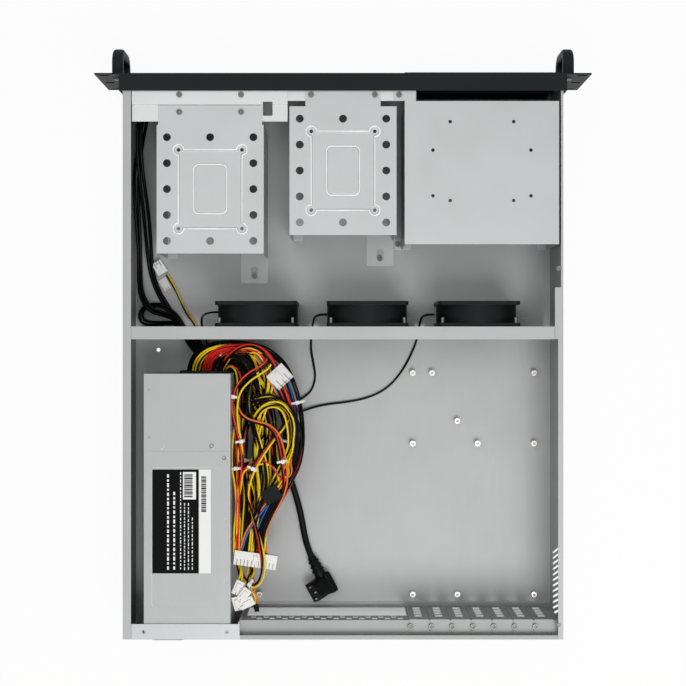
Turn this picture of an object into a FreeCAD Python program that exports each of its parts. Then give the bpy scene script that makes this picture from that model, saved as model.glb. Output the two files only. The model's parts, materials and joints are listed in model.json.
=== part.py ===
import FreeCAD, Part

import math
import os

import Sketcher
from FreeCAD import Placement, Rotation, Vector

# A 2U rackmount server case with its lid off. The front faces -Y and +Z is up.
# The origin is the middle of the floor's underside, halfway along the body's depth.

# Driving sizes in millimetres, one named value each
SIZES = {
    "rack_width": 482.6,
    "panel_height": 88.0,
    "panel_sheet": 1.5,
    "panel_box_width": 435.0,
    "panel_return": 17.0,
    "case_depth": 550.0,
    "body_width": 428.0,
    "body_height": 86.4,
    "steel": 1.0,
    "fit": 0.4,
    "lid_gap": 0.8,
    "rack_hole_spacing": 465.1,
    "rack_hole_rise": 76.2,
    "rack_slot_length": 10.0,
    "rack_slot_width": 6.6,
    "left_flange": 8.0,
    "right_hem": 2.2,
    "right_tab": 8.0,
    "right_tab_start": 208.0,
    "right_tab_length": 50.0,
    "right_flange": 5.0,
    "floor_hole_across": 190.0,
    "floor_hole_depth": 269.0,
    "floor_hole_diameter": 4.0,
    "side_vent_start": 462.0,
    "side_vent_pitch": 5.6,
    "side_vent_count": 12.0,
    "side_vent_width": 2.6,
    "side_vent_low": 20.0,
    "side_vent_tall": 46.0,
    "side_vent_lean": 12.0,
    "handle_offset": 221.6,
    "handle_width": 11.0,
    "handle_thickness": 9.0,
    "handle_reach": 29.0,
    "handle_span": 46.0,
    "handle_bend": 11.0,
    "handle_round": 3.0,
    "handle_screw_head": 4.0,
    "screw_shank": 1.5,
    "screw_clearance": 0.2,
    "screw_head": 3.0,
    "screw_length": 5.0,
    "frame_flange": 26.5,
    "frame_foot": 12.0,
    "frame_end": 61.5,
    "frame_margin": 7.0,
    "tab_start": 12.0,
    "cage_width": 104.0,
    "cage_length": 125.0,
    "cage_foot": 11.0,
    "left_cage_across": 129.1,
    "left_cage_depth": 50.0,
    "middle_cage_across": 0.0,
    "middle_cage_depth": 32.0,
    "left_tab_width": 101.0,
    "middle_tab_width": 73.0,
    "middle_screw_half": 31.0,
    "cage_hole_diameter": 7.7,
    "cage_hole_columns": 84.0,
    "cage_hole_pitch": 25.2,
    "cage_hole_start": 12.0,
    "ssd_hole_across": 61.72,
    "ssd_hole_along": 76.6,
    "ssd_hole_diameter": 3.5,
    "ssd_hole_start": 24.2,
    "press_lobe": 5.2,
    "press_depth": 1.0,
    "press_inner_width": 32.0,
    "press_inner_length": 47.6,
    "press_inner_round": 5.0,
    "drive_hole_diameter": 4.0,
    "drive_hole_start": 28.0,
    "drive_hole_gap": 60.3,
    "drive_pitch": 26.6,
    "drive_first": 10.0,
    "foot_width": 28.0,
    "foot_length": 26.0,
    "foot_round": 3.0,
    "foot_screw": 18.0,
    "keyhole_diameter": 7.4,
    "keyhole_rise": 6.4,
    "bracket_end": 53.9,
    "bracket_step": 30.0,
    "bracket_depth": 46.6,
    "bracket_screw_half": 30.0,
    "bracket_screw_front": 20.6,
    "bracket_screw_rear": 37.4,
    "bracket_window_across": 73.2,
    "bracket_window_width": 9.4,
    "bracket_window_start": 27.5,
    "bracket_window_length": 13.5,
    "bay_width": 150.0,
    "bay_across": 135.0,
    "bay_length": 139.0,
    "bay_foot": 10.0,
    "bay_side_tab": 11.0,
    "bay_floor_tab": 7.2,
    "hdd_hole_across": 95.25,
    "hdd_hole_along": 44.45,
    "bay_hole_start": 20.0,
    "hdd_hole_offset": 27.6,
    "cover_width": 146.5,
    "cover_height": 41.2,
    "cover_wall": 2.0,
    "cover_stand": 1.2,
    "cover_round": 1.0,
    "cover_lip": 2.0,
    "grille_start": -44.0,
    "grille_pitch": 7.2,
    "grille_count": 31.0,
    "grille_width": 3.6,
    "grille_tall": 30.0,
    "grille_low": 10.0,
    "grille_rise": 36.0,
    "wall_depth": 246.0,
    "wall_flange": 12.3,
    "wall_foot": 9.5,
    "fan_size": 80.0,
    "fan_depth": 25.0,
    "fan_rise": 43.0,
    "fan_first_across": 85.0,
    "fan_pitch": 109.0,
    "fan_bore": 76.0,
    "fan_rim": 3.6,
    "fan_hole_spacing": 71.5,
    "fan_hole_diameter": 4.3,
    "fan_corner": 4.0,
    "fan_motor_diameter": 34.0,
    "fan_motor_depth": 4.0,
    "fan_strut_width": 4.0,
    "hub_diameter": 36.0,
    "hub_depth": 17.0,
    "blade_count": 7.0,
    "blade_reach": 34.6,
    "blade_chord": 22.0,
    "blade_root_chord": 15.0,
    "blade_root_rise": 10.4,
    "blade_tip_rise": 8.0,
    "hub_nose": 2.0,
    "blade_sheet": 1.4,
    "rotor_gap": 0.6,
    "shaft_diameter": 3.0,
    "shaft_clearance": 0.05,
    "shaft_hold": 2.0,
    "cable_gate_low": 140.0,
    "cable_gate_width": 35.0,
    "cable_gate_tall": 24.0,
    "lead_gate_width": 9.0,
    "lead_gate_tall": 10.0,
    "lead_gate_offset": 49.0,
    "supply_inner": 109.6,
    "supply_width": 84.0,
    "wire_room": 33.7,
    "supply_lip_width": 9.0,
    "supply_seam": 75.0,
    "exit_across": 138.0,
    "exit_width": 44.0,
    "exit_low": 14.0,
    "exit_tall": 42.0,
    "grommet_wall": 2.0,
    "grommet_stand": 2.5,
    "label_recess_across": 152.9,
    "label_recess_width": 66.0,
    "label_recess_start": 91.0,
    "label_recess_length": 136.0,
    "label_recess_deep": 0.4,
    "label_recess_round": 4.0,
    "shelf_sheet": 1.2,
    "board_sheet": 1.6,
    "backplane_start": 68.0,
    "socket_width": 52.0,
    "socket_tall": 9.0,
    "socket_depth": 7.0,
    "module_width": 79.4,
    "module_height": 38.4,
    "module_recess": 18.5,
    "module_fan_across": 19.0,
    "module_fan_bore": 35.0,
    "module_fan_deep": 14.0,
    "module_rotor_reach": 15.6,
    "guard_bar": 1.6,
    "guard_sheet": 1.2,
    "inlet_across": 24.0,
    "inlet_width": 27.6,
    "inlet_tall": 20.0,
    "inlet_deep": 16.0,
    "inlet_rim": 2.0,
    "inlet_cut": 5.0,
    "pin_width": 2.0,
    "pin_tall": 4.0,
    "pin_spread": 7.0,
    "pull_width": 34.0,
    "pull_reach": 20.0,
    "pull_bar": 4.0,
    "pull_tall": 9.0,
    "latch_reach": 19.0,
    "latch_sheet": 2.0,
    "latch_tall": 12.0,
    "latch_across": 5.5,
    "latch_pin_diameter": 2.0,
    "rear_recess": 16.0,
    "rear_flange": 4.5,
    "ledge_height": 77.0,
    "ledge_lip": 4.0,
    "supply_bay": 100.5,
    "supply_bay_flange": 15.0,
    "lid_hole_pitch": 80.4,
    "lid_hole_diameter": 3.4,
    "lid_hole_inset": 7.5,
    "io_across": 16.1,
    "io_width": 158.75,
    "io_tall": 44.45,
    "io_low": 8.0,
    "vent_across": 5.0,
    "vent_pitch": 12.6,
    "vent_low": 59.0,
    "vent_rise": 6.2,
    "vent_columns": 12.0,
    "slot_first": 74.4,
    "slot_pitch": 20.32,
    "slot_cover_width": 18.4,
    "slot_cover_sheet": 0.9,
    "slot_open_width": 13.0,
    "slot_open_low": 9.0,
    "slot_open_tall": 58.0,
    "slot_tab": 12.0,
    "slot_screw_shift": 8.3,
    "slot_vent_width": 5.5,
    "slot_vent_tall": 9.6,
    "slot_vent_pitch": 13.0,
    "slot_vent_low": 13.0,
    "standoff_diameter": 6.0,
    "standoff_height": 6.5,
    "standoff_bore": 2.5,
    "board_first_across": 71.6,
    "board_span": 124.46,
    "board_left_span": 157.48,
    "board_mid_span": 45.72,
    "board_rear": 30.0,
    "board_mid_row": 154.94,
    "board_front_row": 227.33,
    "control_across": 196.0,
    "control_width": 22.0,
    "control_tall": 66.0,
    "control_low": 10.0,
    "control_depth": 9.0,
    "post_diameter": 4.0,
    "post_inset": 3.0,
    "power_diameter": 12.0,
    "power_rise": 64.0,
    "reset_diameter": 5.0,
    "reset_rise": 49.0,
    "button_stand": 1.6,
    "button_skirt": 1.5,
    "button_skirt_sheet": 1.2,
    "button_travel": 2.0,
    "light_diameter": 3.0,
    "light_pitch": 6.0,
    "light_rise": 39.0,
    "port_width": 13.2,
    "port_tall": 5.8,
    "port_wall": 0.5,
    "port_tongue": 1.8,
    "port_low": 18.0,
    "port_pitch": 9.0,
    "supply_gap": 0.6,
    "top_hole_inset": 5.0,
    "top_hole_near": 15.0,
    "top_hole_far": 61.0,
    "top_hole_diameter": 4.0,
    "top_rivet_half": 24.4,
    "top_rivet_inset": 4.4,
    "rivet_diameter": 4.4,
    "rivet_rise": 0.3,
    "dimple_inset": 4.0,
    "dimple_first": 8.0,
    "dimple_pitch": 59.6,
    "guard_pitch": 8.4,
    "latch_pivot": 3.4,
    "latch_pad": 5.0,
    "pull_round": 3.0,
    "module_hub": 15.0,
    "module_hub_deep": 8.0,
    "module_chord": 10.0,
    "module_root_chord": 6.0,
    "module_root_rise": 6.4,
    "module_tip_rise": 5.0,
    "switch_size": 6.0,
    "switch_depth": 2.4,
    "button_stem": 3.0,
    "screw_rise": 1.6,
    "cross_length": 3.6,
    "cross_width": 0.9,
    "fan_screw_length": 9.0,
    "board_near_span": 19.7,
    "board_extra_span": 66.4,
    "board_extra_row": 49.3,
    "ac_cord_diameter": 6.4,
    "front_cable_diameter": 6.0,
    "fan_lead_diameter": 2.2,
    "sensor_lead_diameter": 3.6,
    "harness_height": 62.0,
    "harness_corner": 12.0,
    "harness_turn": 21.2,
    "harness_shoulder": 49.2,
    "harness_reach": 73.2,
    "harness_tail": 34.0,
    "harness_gap": 13.0,
    "harness_round": 9.0,
    "plug_width": 27.5,
    "plug_depth": 22.0,
    "plug_tall": 17.0,
    "plug_round": 4.0,
    "plug_turn": 22.0,
    "plug_across": 20.9,
    "plug_inset": 19.5,
    "sleeve_length": 17.0,
    "sleeve_start": 8.0,
    "sleeve_end": 12.0,
    "sleeve_groove": 0.8,
    "sleeve_rib": 2.6,
    "contact_spread": 6.5,
    "contact_width": 2.2,
    "contact_tall": 4.4,
    "contact_deep": 9.0,
    "latch_length": 5.0,
    "latch_deep": 9.0,
    "latch_rise": 1.8,
    "plug_housing_deep": 14.2,
    "plug_housing_tall": 9.8,
    "atx_length": 42.4,
    "atx_across": 23.2,
    "atx_inset": 41.0,
    "eps_length": 17.6,
    "eps_across": 9.6,
    "eps_inset": 14.5,
    "eps_shift": 2.6,
    "eps_pitch": 14.0,
    "molex_length": 21.0,
    "molex_deep": 17.0,
    "molex_across": 45.2,
    "molex_inset": 9.5,
    "sata_length": 22.0,
    "sata_across": 38.2,
    "sata_inset": 103.0,
    "sata_deep": 10.0,
    "sata_tall": 7.0,
    "sensor_length": 13.0,
    "sensor_across": 28.0,
    "sensor_inset": 36.0,
    "sensor_deep": 16.0,
    "sensor_tall": 8.0,
}

doc = FreeCAD.newDocument("rackmount_server_case")
sheet = doc.addObject("Spreadsheet::Sheet", "Sizes")


class Size:
    """A number and the spreadsheet expression that gives it."""

    def __init__(self, value, text):
        self.value = value
        self.text = text

    def __add__(self, other):
        other = as_size(other)
        return Size(self.value + other.value, f"({self.text} + {other.text})")

    def __sub__(self, other):
        other = as_size(other)
        return Size(self.value - other.value, f"({self.text} - {other.text})")

    def __mul__(self, other):
        other = as_size(other)
        return Size(self.value * other.value, f"({self.text} * {other.text})")

    def __truediv__(self, other):
        other = as_size(other)
        return Size(self.value / other.value, f"({self.text} / {other.text})")

    def __neg__(self):
        return Size(-self.value, f"(0 - {self.text})")

    def __radd__(self, other):
        return as_size(other) + self

    def __rsub__(self, other):
        return as_size(other) - self

    def __rmul__(self, other):
        return as_size(other) * self


def as_size(number):
    """A plain number as a size, and a size as it is."""
    if isinstance(number, Size):
        return number
    return Size(float(number), repr(float(number)))


class Named:
    """Every driving size by its name, tied to its cell."""

    def __init__(self):
        for row, (name, value) in enumerate(SIZES.items(), start=1):
            sheet.set(f"A{row}", name)
            sheet.set(f"B{row}", str(value))
            sheet.setAlias(f"B{row}", name)
            setattr(self, name, Size(float(value), f"Sizes.{name}"))


S = Named()
doc.recompute()


def bind(thing, target, size):
    """Ties one property or constraint of a document object to a size."""
    thing.setExpression(target, as_size(size).text)


# Outlines for sketches, given as sizes across and up
def poly(*points):
    return ("poly", [(as_size(a), as_size(b)) for a, b in points])


def rect(across, up):
    return poly((across[0], up[0]), (across[1], up[0]), (across[1], up[1]), (across[0], up[1]))


def block(centre, wide, tall):
    across = (centre[0] - wide / 2, centre[0] + wide / 2)
    return rect(across, (centre[1] - tall / 2, centre[1] + tall / 2))


def circle(centre, diameter):
    return ("circle", (as_size(centre[0]), as_size(centre[1])), as_size(diameter))


def slot(centre, length, width):
    return ("slot", (as_size(centre[0]), as_size(centre[1])), as_size(length), as_size(width))


def hexagon(centre, across_corners):
    reach = as_size(across_corners) / 2
    corners = []
    for step in range(6):
        angle = math.radians(60 * step)
        corners.append((centre[0] + reach * math.cos(angle), centre[1] + reach * math.sin(angle)))
    return poly(*corners)


def round_rect(across, up, radius):
    return ("round_rect", across, up, as_size(radius))


def hold(sketch, geometry, point, centre):
    """Holds a point of a sketch at sizes measured from the sketch's origin."""
    for kind, size in zip(("DistanceX", "DistanceY"), centre):
        number = sketch.addConstraint(Sketcher.Constraint(kind, -1, 1, geometry, point, size.value))
        bind(sketch, f"Constraints[{number}]", size)


def hold_radius(sketch, geometry, size):
    number = sketch.addConstraint(Sketcher.Constraint("Radius", geometry, size.value))
    bind(sketch, f"Constraints[{number}]", size)


def flat(point):
    return Vector(point[0].value, point[1].value, 0)


def draw_poly(sketch, points):
    count = len(points)
    lines = []
    for step in range(count):
        line = Part.LineSegment(flat(points[step]), flat(points[(step + 1) % count]))
        lines.append(sketch.addGeometry(line, False))
    for step in range(count):
        following = lines[(step + 1) % count]
        sketch.addConstraint(Sketcher.Constraint("Coincident", lines[step], 2, following, 1))
        hold(sketch, lines[step], 1, points[step])


def draw_circle(sketch, centre, diameter):
    ring = Part.Circle(flat(centre), Vector(0, 0, 1), diameter.value / 2)
    number = sketch.addGeometry(ring, False)
    hold(sketch, number, 3, centre)
    hold_radius(sketch, number, diameter / 2)


def draw_arc(sketch, centre, radius, start, end):
    ring = Part.Circle(flat(centre), Vector(0, 0, 1), radius.value)
    return sketch.addGeometry(Part.ArcOfCircle(ring, math.radians(start), math.radians(end)), False)


def draw_line(sketch, first, second):
    return sketch.addGeometry(Part.LineSegment(flat(first), flat(second)), False)


def join(sketch, numbers, kind):
    """Joins each line or arc of a closed outline to the next one, end to start."""
    for step, number in enumerate(numbers):
        following = numbers[(step + 1) % len(numbers)]
        sketch.addConstraint(Sketcher.Constraint(kind, number, 2, following, 1))


def draw_slot(sketch, centre, length, width):
    radius = width / 2
    half = (length - width) / 2
    left = (centre[0] - half, centre[1])
    right = (centre[0] + half, centre[1])
    first = draw_arc(sketch, left, radius, 90, 270)
    low = draw_line(sketch, (left[0], left[1] - radius), (right[0], right[1] - radius))
    second = draw_arc(sketch, right, radius, -90, 90)
    high = draw_line(sketch, (right[0], right[1] + radius), (left[0], left[1] + radius))
    join(sketch, [first, low, second, high], "Tangent")
    hold(sketch, first, 3, left)
    hold(sketch, second, 3, right)
    sketch.addConstraint(Sketcher.Constraint("Equal", first, second))
    hold_radius(sketch, first, radius)


def draw_round_rect(sketch, across, up, radius):
    x0, x1 = as_size(across[0]), as_size(across[1])
    y0, y1 = as_size(up[0]), as_size(up[1])
    low = draw_line(sketch, (x0 + radius, y0), (x1 - radius, y0))
    corner_1 = draw_arc(sketch, (x1 - radius, y0 + radius), radius, -90, 0)
    right = draw_line(sketch, (x1, y0 + radius), (x1, y1 - radius))
    corner_2 = draw_arc(sketch, (x1 - radius, y1 - radius), radius, 0, 90)
    high = draw_line(sketch, (x1 - radius, y1), (x0 + radius, y1))
    corner_3 = draw_arc(sketch, (x0 + radius, y1 - radius), radius, 90, 180)
    left = draw_line(sketch, (x0, y1 - radius), (x0, y0 + radius))
    corner_4 = draw_arc(sketch, (x0 + radius, y0 + radius), radius, 180, 270)
    join(sketch, [low, corner_1, right, corner_2, high, corner_3, left, corner_4], "Coincident")
    for line, start, end in (
        (low, (x0 + radius, y0), (x1 - radius, y0)),
        (right, (x1, y0 + radius), (x1, y1 - radius)),
        (high, (x1 - radius, y1), (x0 + radius, y1)),
        (left, (x0, y1 - radius), (x0, y0 + radius)),
    ):
        hold(sketch, line, 1, start)
        hold(sketch, line, 2, end)
    for corner in (corner_1, corner_2, corner_3, corner_4):
        hold_radius(sketch, corner, radius)


DRAW = {"poly": draw_poly, "circle": draw_circle, "slot": draw_slot, "round_rect": draw_round_rect}

# The sign of each sketch plane's normal along its axis
NORMAL = {"XY": 1, "XZ": -1, "YZ": 1}


class Piece:
    """One physical piece, built feature by feature as a body."""

    def __init__(self, label):
        self.body = doc.addObject("PartDesign::Body", label)
        self.body.Label = label
        self.steps = 0
        pieces.append(self.body)

    def origin(self, role):
        for feature in self.body.Origin.OriginFeatures:
            if feature.Role == role:
                return (feature, [""])
        raise ValueError(role)

    def name(self, kind):
        self.steps += 1
        return f"{self.body.Name}_{kind}_{self.steps}"

    def sketch(self, plane, place, outlines):
        made = self.body.newObject("Sketcher::SketchObject", self.name("sketch"))
        made.AttachmentSupport = self.origin(f"{plane}_Plane")
        made.MapMode = "FlatFace"
        bind(made, "AttachmentOffset.Base.z", as_size(place) * NORMAL[plane])
        for kind, *values in outlines:
            DRAW[kind](made, *values)
        return made

    def grow(self, kind, plane, place, span, outlines, slope):
        made = self.body.newObject(kind, self.name(kind.split("::")[1].lower()))
        made.Profile = self.sketch(plane, place, outlines)
        bind(made, "Length", span[1] - span[0])
        made.TaperAngle = -slope
        self.body.Tip = made
        return made

    def pad(self, plane, span, *outlines, slope=0):
        """Adds outlines, drawn across a plane, over a span along the plane's axis."""
        span = (as_size(span[0]), as_size(span[1]))
        place = span[0] if NORMAL[plane] > 0 else span[1]
        return self.grow("PartDesign::Pad", plane, place, span, outlines, slope)

    def pocket(self, plane, span, *outlines, slope=0):
        """Cuts outlines, drawn across a plane, over a span along the plane's axis."""
        span = (as_size(span[0]), as_size(span[1]))
        place = span[1] if NORMAL[plane] > 0 else span[0]
        doc.recompute()
        before = self.body.Shape.Volume
        made = self.grow("PartDesign::Pocket", plane, place, span, outlines, slope)
        doc.recompute()
        if not self.body.Shape.Volume < before:
            raise RuntimeError(f"{made.Name} cuts nothing")
        return made

    def repeat(self, feature, axis, pitch, count, second=None):
        """Repeats a feature along one or two of the origin's axes."""
        made = self.body.newObject("PartDesign::LinearPattern", self.name("pattern"))
        made.Originals = [feature]
        made.Direction = self.origin(f"{axis}_Axis")
        made.Mode = "Spacing"
        bind(made, "Offset", pitch)
        bind(made, "Occurrences", count)
        if second:
            made.Direction2 = self.origin(f"{second[0]}_Axis")
            made.Mode2 = "Spacing"
            bind(made, "Offset2", second[1])
            bind(made, "Occurrences2", second[2])
        self.body.Tip = made
        return made

    def around(self, feature, axis, count):
        """Repeats a feature evenly around one of the origin's axes."""
        made = self.body.newObject("PartDesign::PolarPattern", self.name("pattern"))
        made.Originals = [feature]
        made.Axis = self.origin(f"{axis}_Axis")
        made.Angle = 360
        bind(made, "Occurrences", count)
        self.body.Tip = made
        return made

    def revolve(self, plane, axis, *outlines):
        """Turns outlines, drawn across a plane, right round one of the origin's axes."""
        made = self.body.newObject("PartDesign::Revolution", self.name("revolution"))
        made.Profile = self.sketch(plane, 0, outlines)
        made.ReferenceAxis = self.origin(f"{axis}_Axis")
        made.Angle = 360
        self.body.Tip = made
        return made

    def loft(self, plane, sections):
        """Adds a solid between outlines at places along a plane's axis."""
        sketches = [self.sketch(plane, place, [outline]) for place, outline in sections]
        made = self.body.newObject("PartDesign::AdditiveLoft", self.name("loft"))
        made.Profile = sketches[0]
        made.Sections = sketches[1:]
        made.Ruled = True
        self.body.Tip = made
        return made

    def fillet(self, radius, chosen):
        """Rounds the edges for which chosen(edge) holds."""
        doc.recompute()
        base = self.body.Tip
        edges = [f"Edge{n}" for n, edge in enumerate(base.Shape.Edges, start=1) if chosen(edge)]
        if not edges:
            raise RuntimeError(f"{self.body.Label} has no edge to round")
        made = self.body.newObject("PartDesign::Fillet", self.name("fillet"))
        made.Base = (base, edges)
        bind(made, "Radius", radius)
        self.body.Tip = made
        return made

    def place(self, x, y, z):
        for axis, size in zip("xyz", (x, y, z)):
            bind(self.body, f"Placement.Base.{axis}", size)
        return self


def along(axis):
    """Chooses straight edges that run along an axis."""
    def chosen(edge):
        if not isinstance(edge.Curve, Part.Line):
            return False
        way = edge.Vertexes[1].Point - edge.Vertexes[0].Point
        return abs(abs(way.normalize().dot(axis)) - 1) < 1e-6
    return chosen


pieces = []

# Levels and faces that several pieces share
half_body = S.body_width / 2
inner_half = half_body - S.steel
front = -S.case_depth / 2
rear = S.case_depth / 2
floor_top = S.steel
top = S.body_height
cage_top = top - S.lid_gap
sheet_low = cage_top - S.steel
beam_low = sheet_low - S.steel
panel_back = front + S.panel_sheet
body_front = panel_back + S.fit
hole_diameter = (S.screw_shank + S.screw_clearance) * 2
flange_end = front + S.frame_flange
bracket_rear = front + S.bracket_depth
bracket_fold = front + S.bracket_step
tab_front = front + S.tab_start
window_low = (S.panel_height - (S.cover_height * 2 + S.fit)) / 2 - S.fit


def depth(size):
    """A place given as a distance behind the front panel's face."""
    return front + size


# Places of the screws, shared by the holes and the screws themselves
def left_cage_screws(row):
    return [(S.left_cage_across + S.bracket_screw_half * side, depth(row)) for side in (-1, 1)]


bracket_screws = left_cage_screws(S.bracket_screw_front)
tab_screws = left_cage_screws(S.bracket_screw_rear)
middle_screws = [
    (S.middle_cage_across + S.middle_screw_half * side, depth(S.bracket_screw_front)) for side in (-1, 1)
]
bay_inner = -S.bay_across + S.bay_width / 2
bay_tab_screw = (bay_inner + S.bay_side_tab / 2, depth(S.bracket_screw_front))
bay_front = flange_end + S.fit
bay_rear = bay_front + S.bay_length


def cage_foot_screw(across, cage_depth):
    low = across - S.cage_width / 2
    return (low + S.foot_width / 2, depth(cage_depth) + S.cage_length + S.foot_screw)


floor_screws = [
    cage_foot_screw(S.left_cage_across, S.left_cage_depth),
    cage_foot_screw(S.middle_cage_across, S.middle_cage_depth),
    (bay_inner + S.bay_floor_tab / 2, bay_rear - S.bay_side_tab / 2),
]
ledge_inner = rear - S.rear_recess - S.steel
slot_screws = []
for step in range(7):
    screw_across = -S.slot_first - S.slot_pitch * step + S.slot_screw_shift
    slot_screws.append((screw_across, ledge_inner + S.slot_tab / 2))


def base_pan():
    pan = Piece("base_pan")
    profile = poly(
        (-half_body, 0),
        (half_body, 0),
        (half_body, top),
        (half_body - S.left_flange, top),
        (half_body - S.left_flange, top - S.steel),
        (inner_half, top - S.steel),
        (inner_half, floor_top),
        (-inner_half, floor_top),
        (-inner_half, top - S.steel),
        (-half_body + S.right_hem, top - S.steel),
        (-half_body + S.right_hem, top),
        (-half_body, top),
    )
    pan.pad("XZ", (body_front, rear), profile)
    tab_low = depth(S.right_tab_start)
    tab_high = tab_low + S.right_tab_length
    pan.pad(
        "XY",
        (top - S.steel, top),
        poly(
            (-inner_half, tab_low),
            (-half_body + S.right_tab, tab_low),
            (-half_body + S.right_tab, tab_high),
            (-half_body + S.right_flange, tab_high),
            (-half_body + S.right_flange, rear),
            (-inner_half, rear),
        ),
    )
    vent = depth(S.side_vent_start)
    lean = S.side_vent_lean
    slit = pan.pocket(
        "YZ",
        (-half_body - S.steel, -inner_half + S.steel),
        poly(
            (vent + lean, S.side_vent_low),
            (vent + lean + S.side_vent_width, S.side_vent_low),
            (vent + S.side_vent_width, S.side_vent_low + S.side_vent_tall),
            (vent, S.side_vent_low + S.side_vent_tall),
        ),
    )
    pan.repeat(slit, "Y", S.side_vent_pitch, S.side_vent_count)
    holes = [circle(place, hole_diameter) for place in floor_screws]
    holes.append(circle((S.floor_hole_across, depth(S.floor_hole_depth)), S.floor_hole_diameter))
    pan.pocket("XY", (-S.steel, floor_top), *holes)


def front_panel():
    panel = Piece("front_panel")
    half_rack = S.rack_width / 2
    half_box = S.panel_box_width / 2
    sheet_wall = S.panel_sheet
    panel.pad("XZ", (front, panel_back), rect((-half_rack, half_rack), (0, S.panel_height)))
    panel.pad(
        "XZ",
        (front, front + S.panel_return),
        poly(
            (-half_box, 0),
            (-half_box + sheet_wall, 0),
            (-half_box + sheet_wall, S.panel_height - sheet_wall),
            (half_box - sheet_wall, S.panel_height - sheet_wall),
            (half_box - sheet_wall, 0),
            (half_box, 0),
            (half_box, S.panel_height),
            (-half_box, S.panel_height),
        ),
    )
    holes = []
    for side in (-1, 1):
        for row in (-1, 0, 1):
            centre = (S.rack_hole_spacing / 2 * side, S.panel_height / 2 + S.rack_hole_rise / 2 * row)
            holes.append(slot(centre, S.rack_slot_length, S.rack_slot_width))
        for row in (-1, 1):
            centre = (S.handle_offset * side, S.panel_height / 2 + S.handle_span / 2 * row)
            holes.append(circle(centre, hole_diameter))
    half_window = S.cover_width / 2 + S.fit
    holes.append(
        rect(
            (-S.bay_across - half_window, -S.bay_across + half_window),
            (window_low, S.panel_height - window_low),
        )
    )
    button_room = S.fit * 2
    holes.append(circle((S.control_across, S.power_rise), S.power_diameter + button_room))
    holes.append(circle((S.control_across, S.reset_rise), S.reset_diameter + button_room))
    for step in (-1, 0, 1):
        centre = (S.control_across + S.light_pitch * step, S.light_rise)
        holes.append(circle(centre, S.light_diameter + S.fit))
    for step in (0, 1):
        low = S.port_low + S.port_pitch * step
        across = S.port_width / 2 + S.fit
        holes.append(
            rect(
                (S.control_across - across, S.control_across + across),
                (low - S.fit, low + S.port_tall + S.fit),
            )
        )
    through = (front - S.panel_sheet, panel_back)
    panel.pocket("XZ", through, *holes)
    slit = panel.pocket(
        "XZ",
        through,
        rect(
            (S.grille_start, S.grille_start + S.grille_width),
            (S.grille_low, S.grille_low + S.grille_tall),
        ),
    )
    panel.repeat(slit, "X", S.grille_pitch, S.grille_count, second=("Z", S.grille_rise, 2))


def handle(label, side):
    """A bent bar with rounded edges, its two ends against the front panel."""
    grip = Piece(label)
    high = S.handle_span / 2
    bend = S.handle_bend
    reach = -S.handle_reach + S.handle_thickness / 2
    spine = grip.body.newObject("Sketcher::SketchObject", f"{label}_spine")
    spine.AttachmentSupport = grip.origin("YZ_Plane")
    spine.MapMode = "FlatFace"
    none = as_size(0)
    ends = [
        ((none, -high), (reach + bend, -high)),
        ((reach, -high + bend), (reach, high - bend)),
        ((reach + bend, high), (none, high)),
    ]
    lower = draw_line(spine, *ends[0])
    corner_1 = draw_arc(spine, (reach + bend, -high + bend), bend, 180, 270)
    upright = draw_line(spine, *ends[1])
    corner_2 = draw_arc(spine, (reach + bend, high - bend), bend, 90, 180)
    upper = draw_line(spine, *ends[2])
    for line, (start, end) in zip((lower, upright, upper), ends):
        hold(spine, line, 1, start)
        hold(spine, line, 2, end)
    for corner, below, above in ((corner_1, lower, upright), (corner_2, upright, upper)):
        spine.addConstraint(Sketcher.Constraint("Coincident", below, 2, corner, 2))
        spine.addConstraint(Sketcher.Constraint("Coincident", above, 1, corner, 1))
        hold_radius(spine, corner, bend)
    half = S.handle_width / 2
    thick = S.handle_thickness / 2
    section = grip.sketch(
        "XZ",
        0,
        [round_rect((-half, half), (-high - thick, -high + thick), S.handle_round)],
    )
    bar = grip.body.newObject("PartDesign::AdditivePipe", grip.name("pipe"))
    bar.Profile = section
    bar.Spine = (spine, [])
    grip.body.Tip = bar
    bores = [circle((0, high * row), S.screw_shank * 2 + S.screw_clearance * 2) for row in (-1, 1)]
    grip.pocket("XZ", (-S.screw_length, 0), *bores)
    grip.place(S.handle_offset * side, front, S.panel_height / 2)


def front_frame():
    """The folded channel behind the front panel that the cages are screwed to."""
    frame = Piece("front_frame")
    web = panel_back + S.steel
    frame.pad(
        "YZ",
        (-S.frame_end, half_body - S.left_flange - S.fit),
        poly(
            (panel_back, floor_top),
            (panel_back + S.frame_foot, floor_top),
            (panel_back + S.frame_foot, floor_top + S.steel),
            (web, floor_top + S.steel),
            (web, beam_low),
            (flange_end, beam_low),
            (flange_end, sheet_low),
            (panel_back, sheet_low),
        ),
    )
    low = floor_top + S.frame_margin
    high = beam_low - S.frame_margin
    half_cage = S.cage_width / 2
    windows = []
    for across in (S.left_cage_across, S.middle_cage_across):
        windows.append(rect((across - half_cage, across + half_cage), (low, high)))
    half_control = S.control_width / 2
    windows.append(
        rect(
            (S.control_across - half_control, half_body - S.left_flange + S.fit),
            (low, high),
        )
    )
    frame.pocket("XZ", (panel_back, web), *windows)
    holes = [circle(place, hole_diameter) for place in [*bracket_screws, *middle_screws, bay_tab_screw]]
    frame.pocket("XY", (beam_low, sheet_low), *holes)


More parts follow.
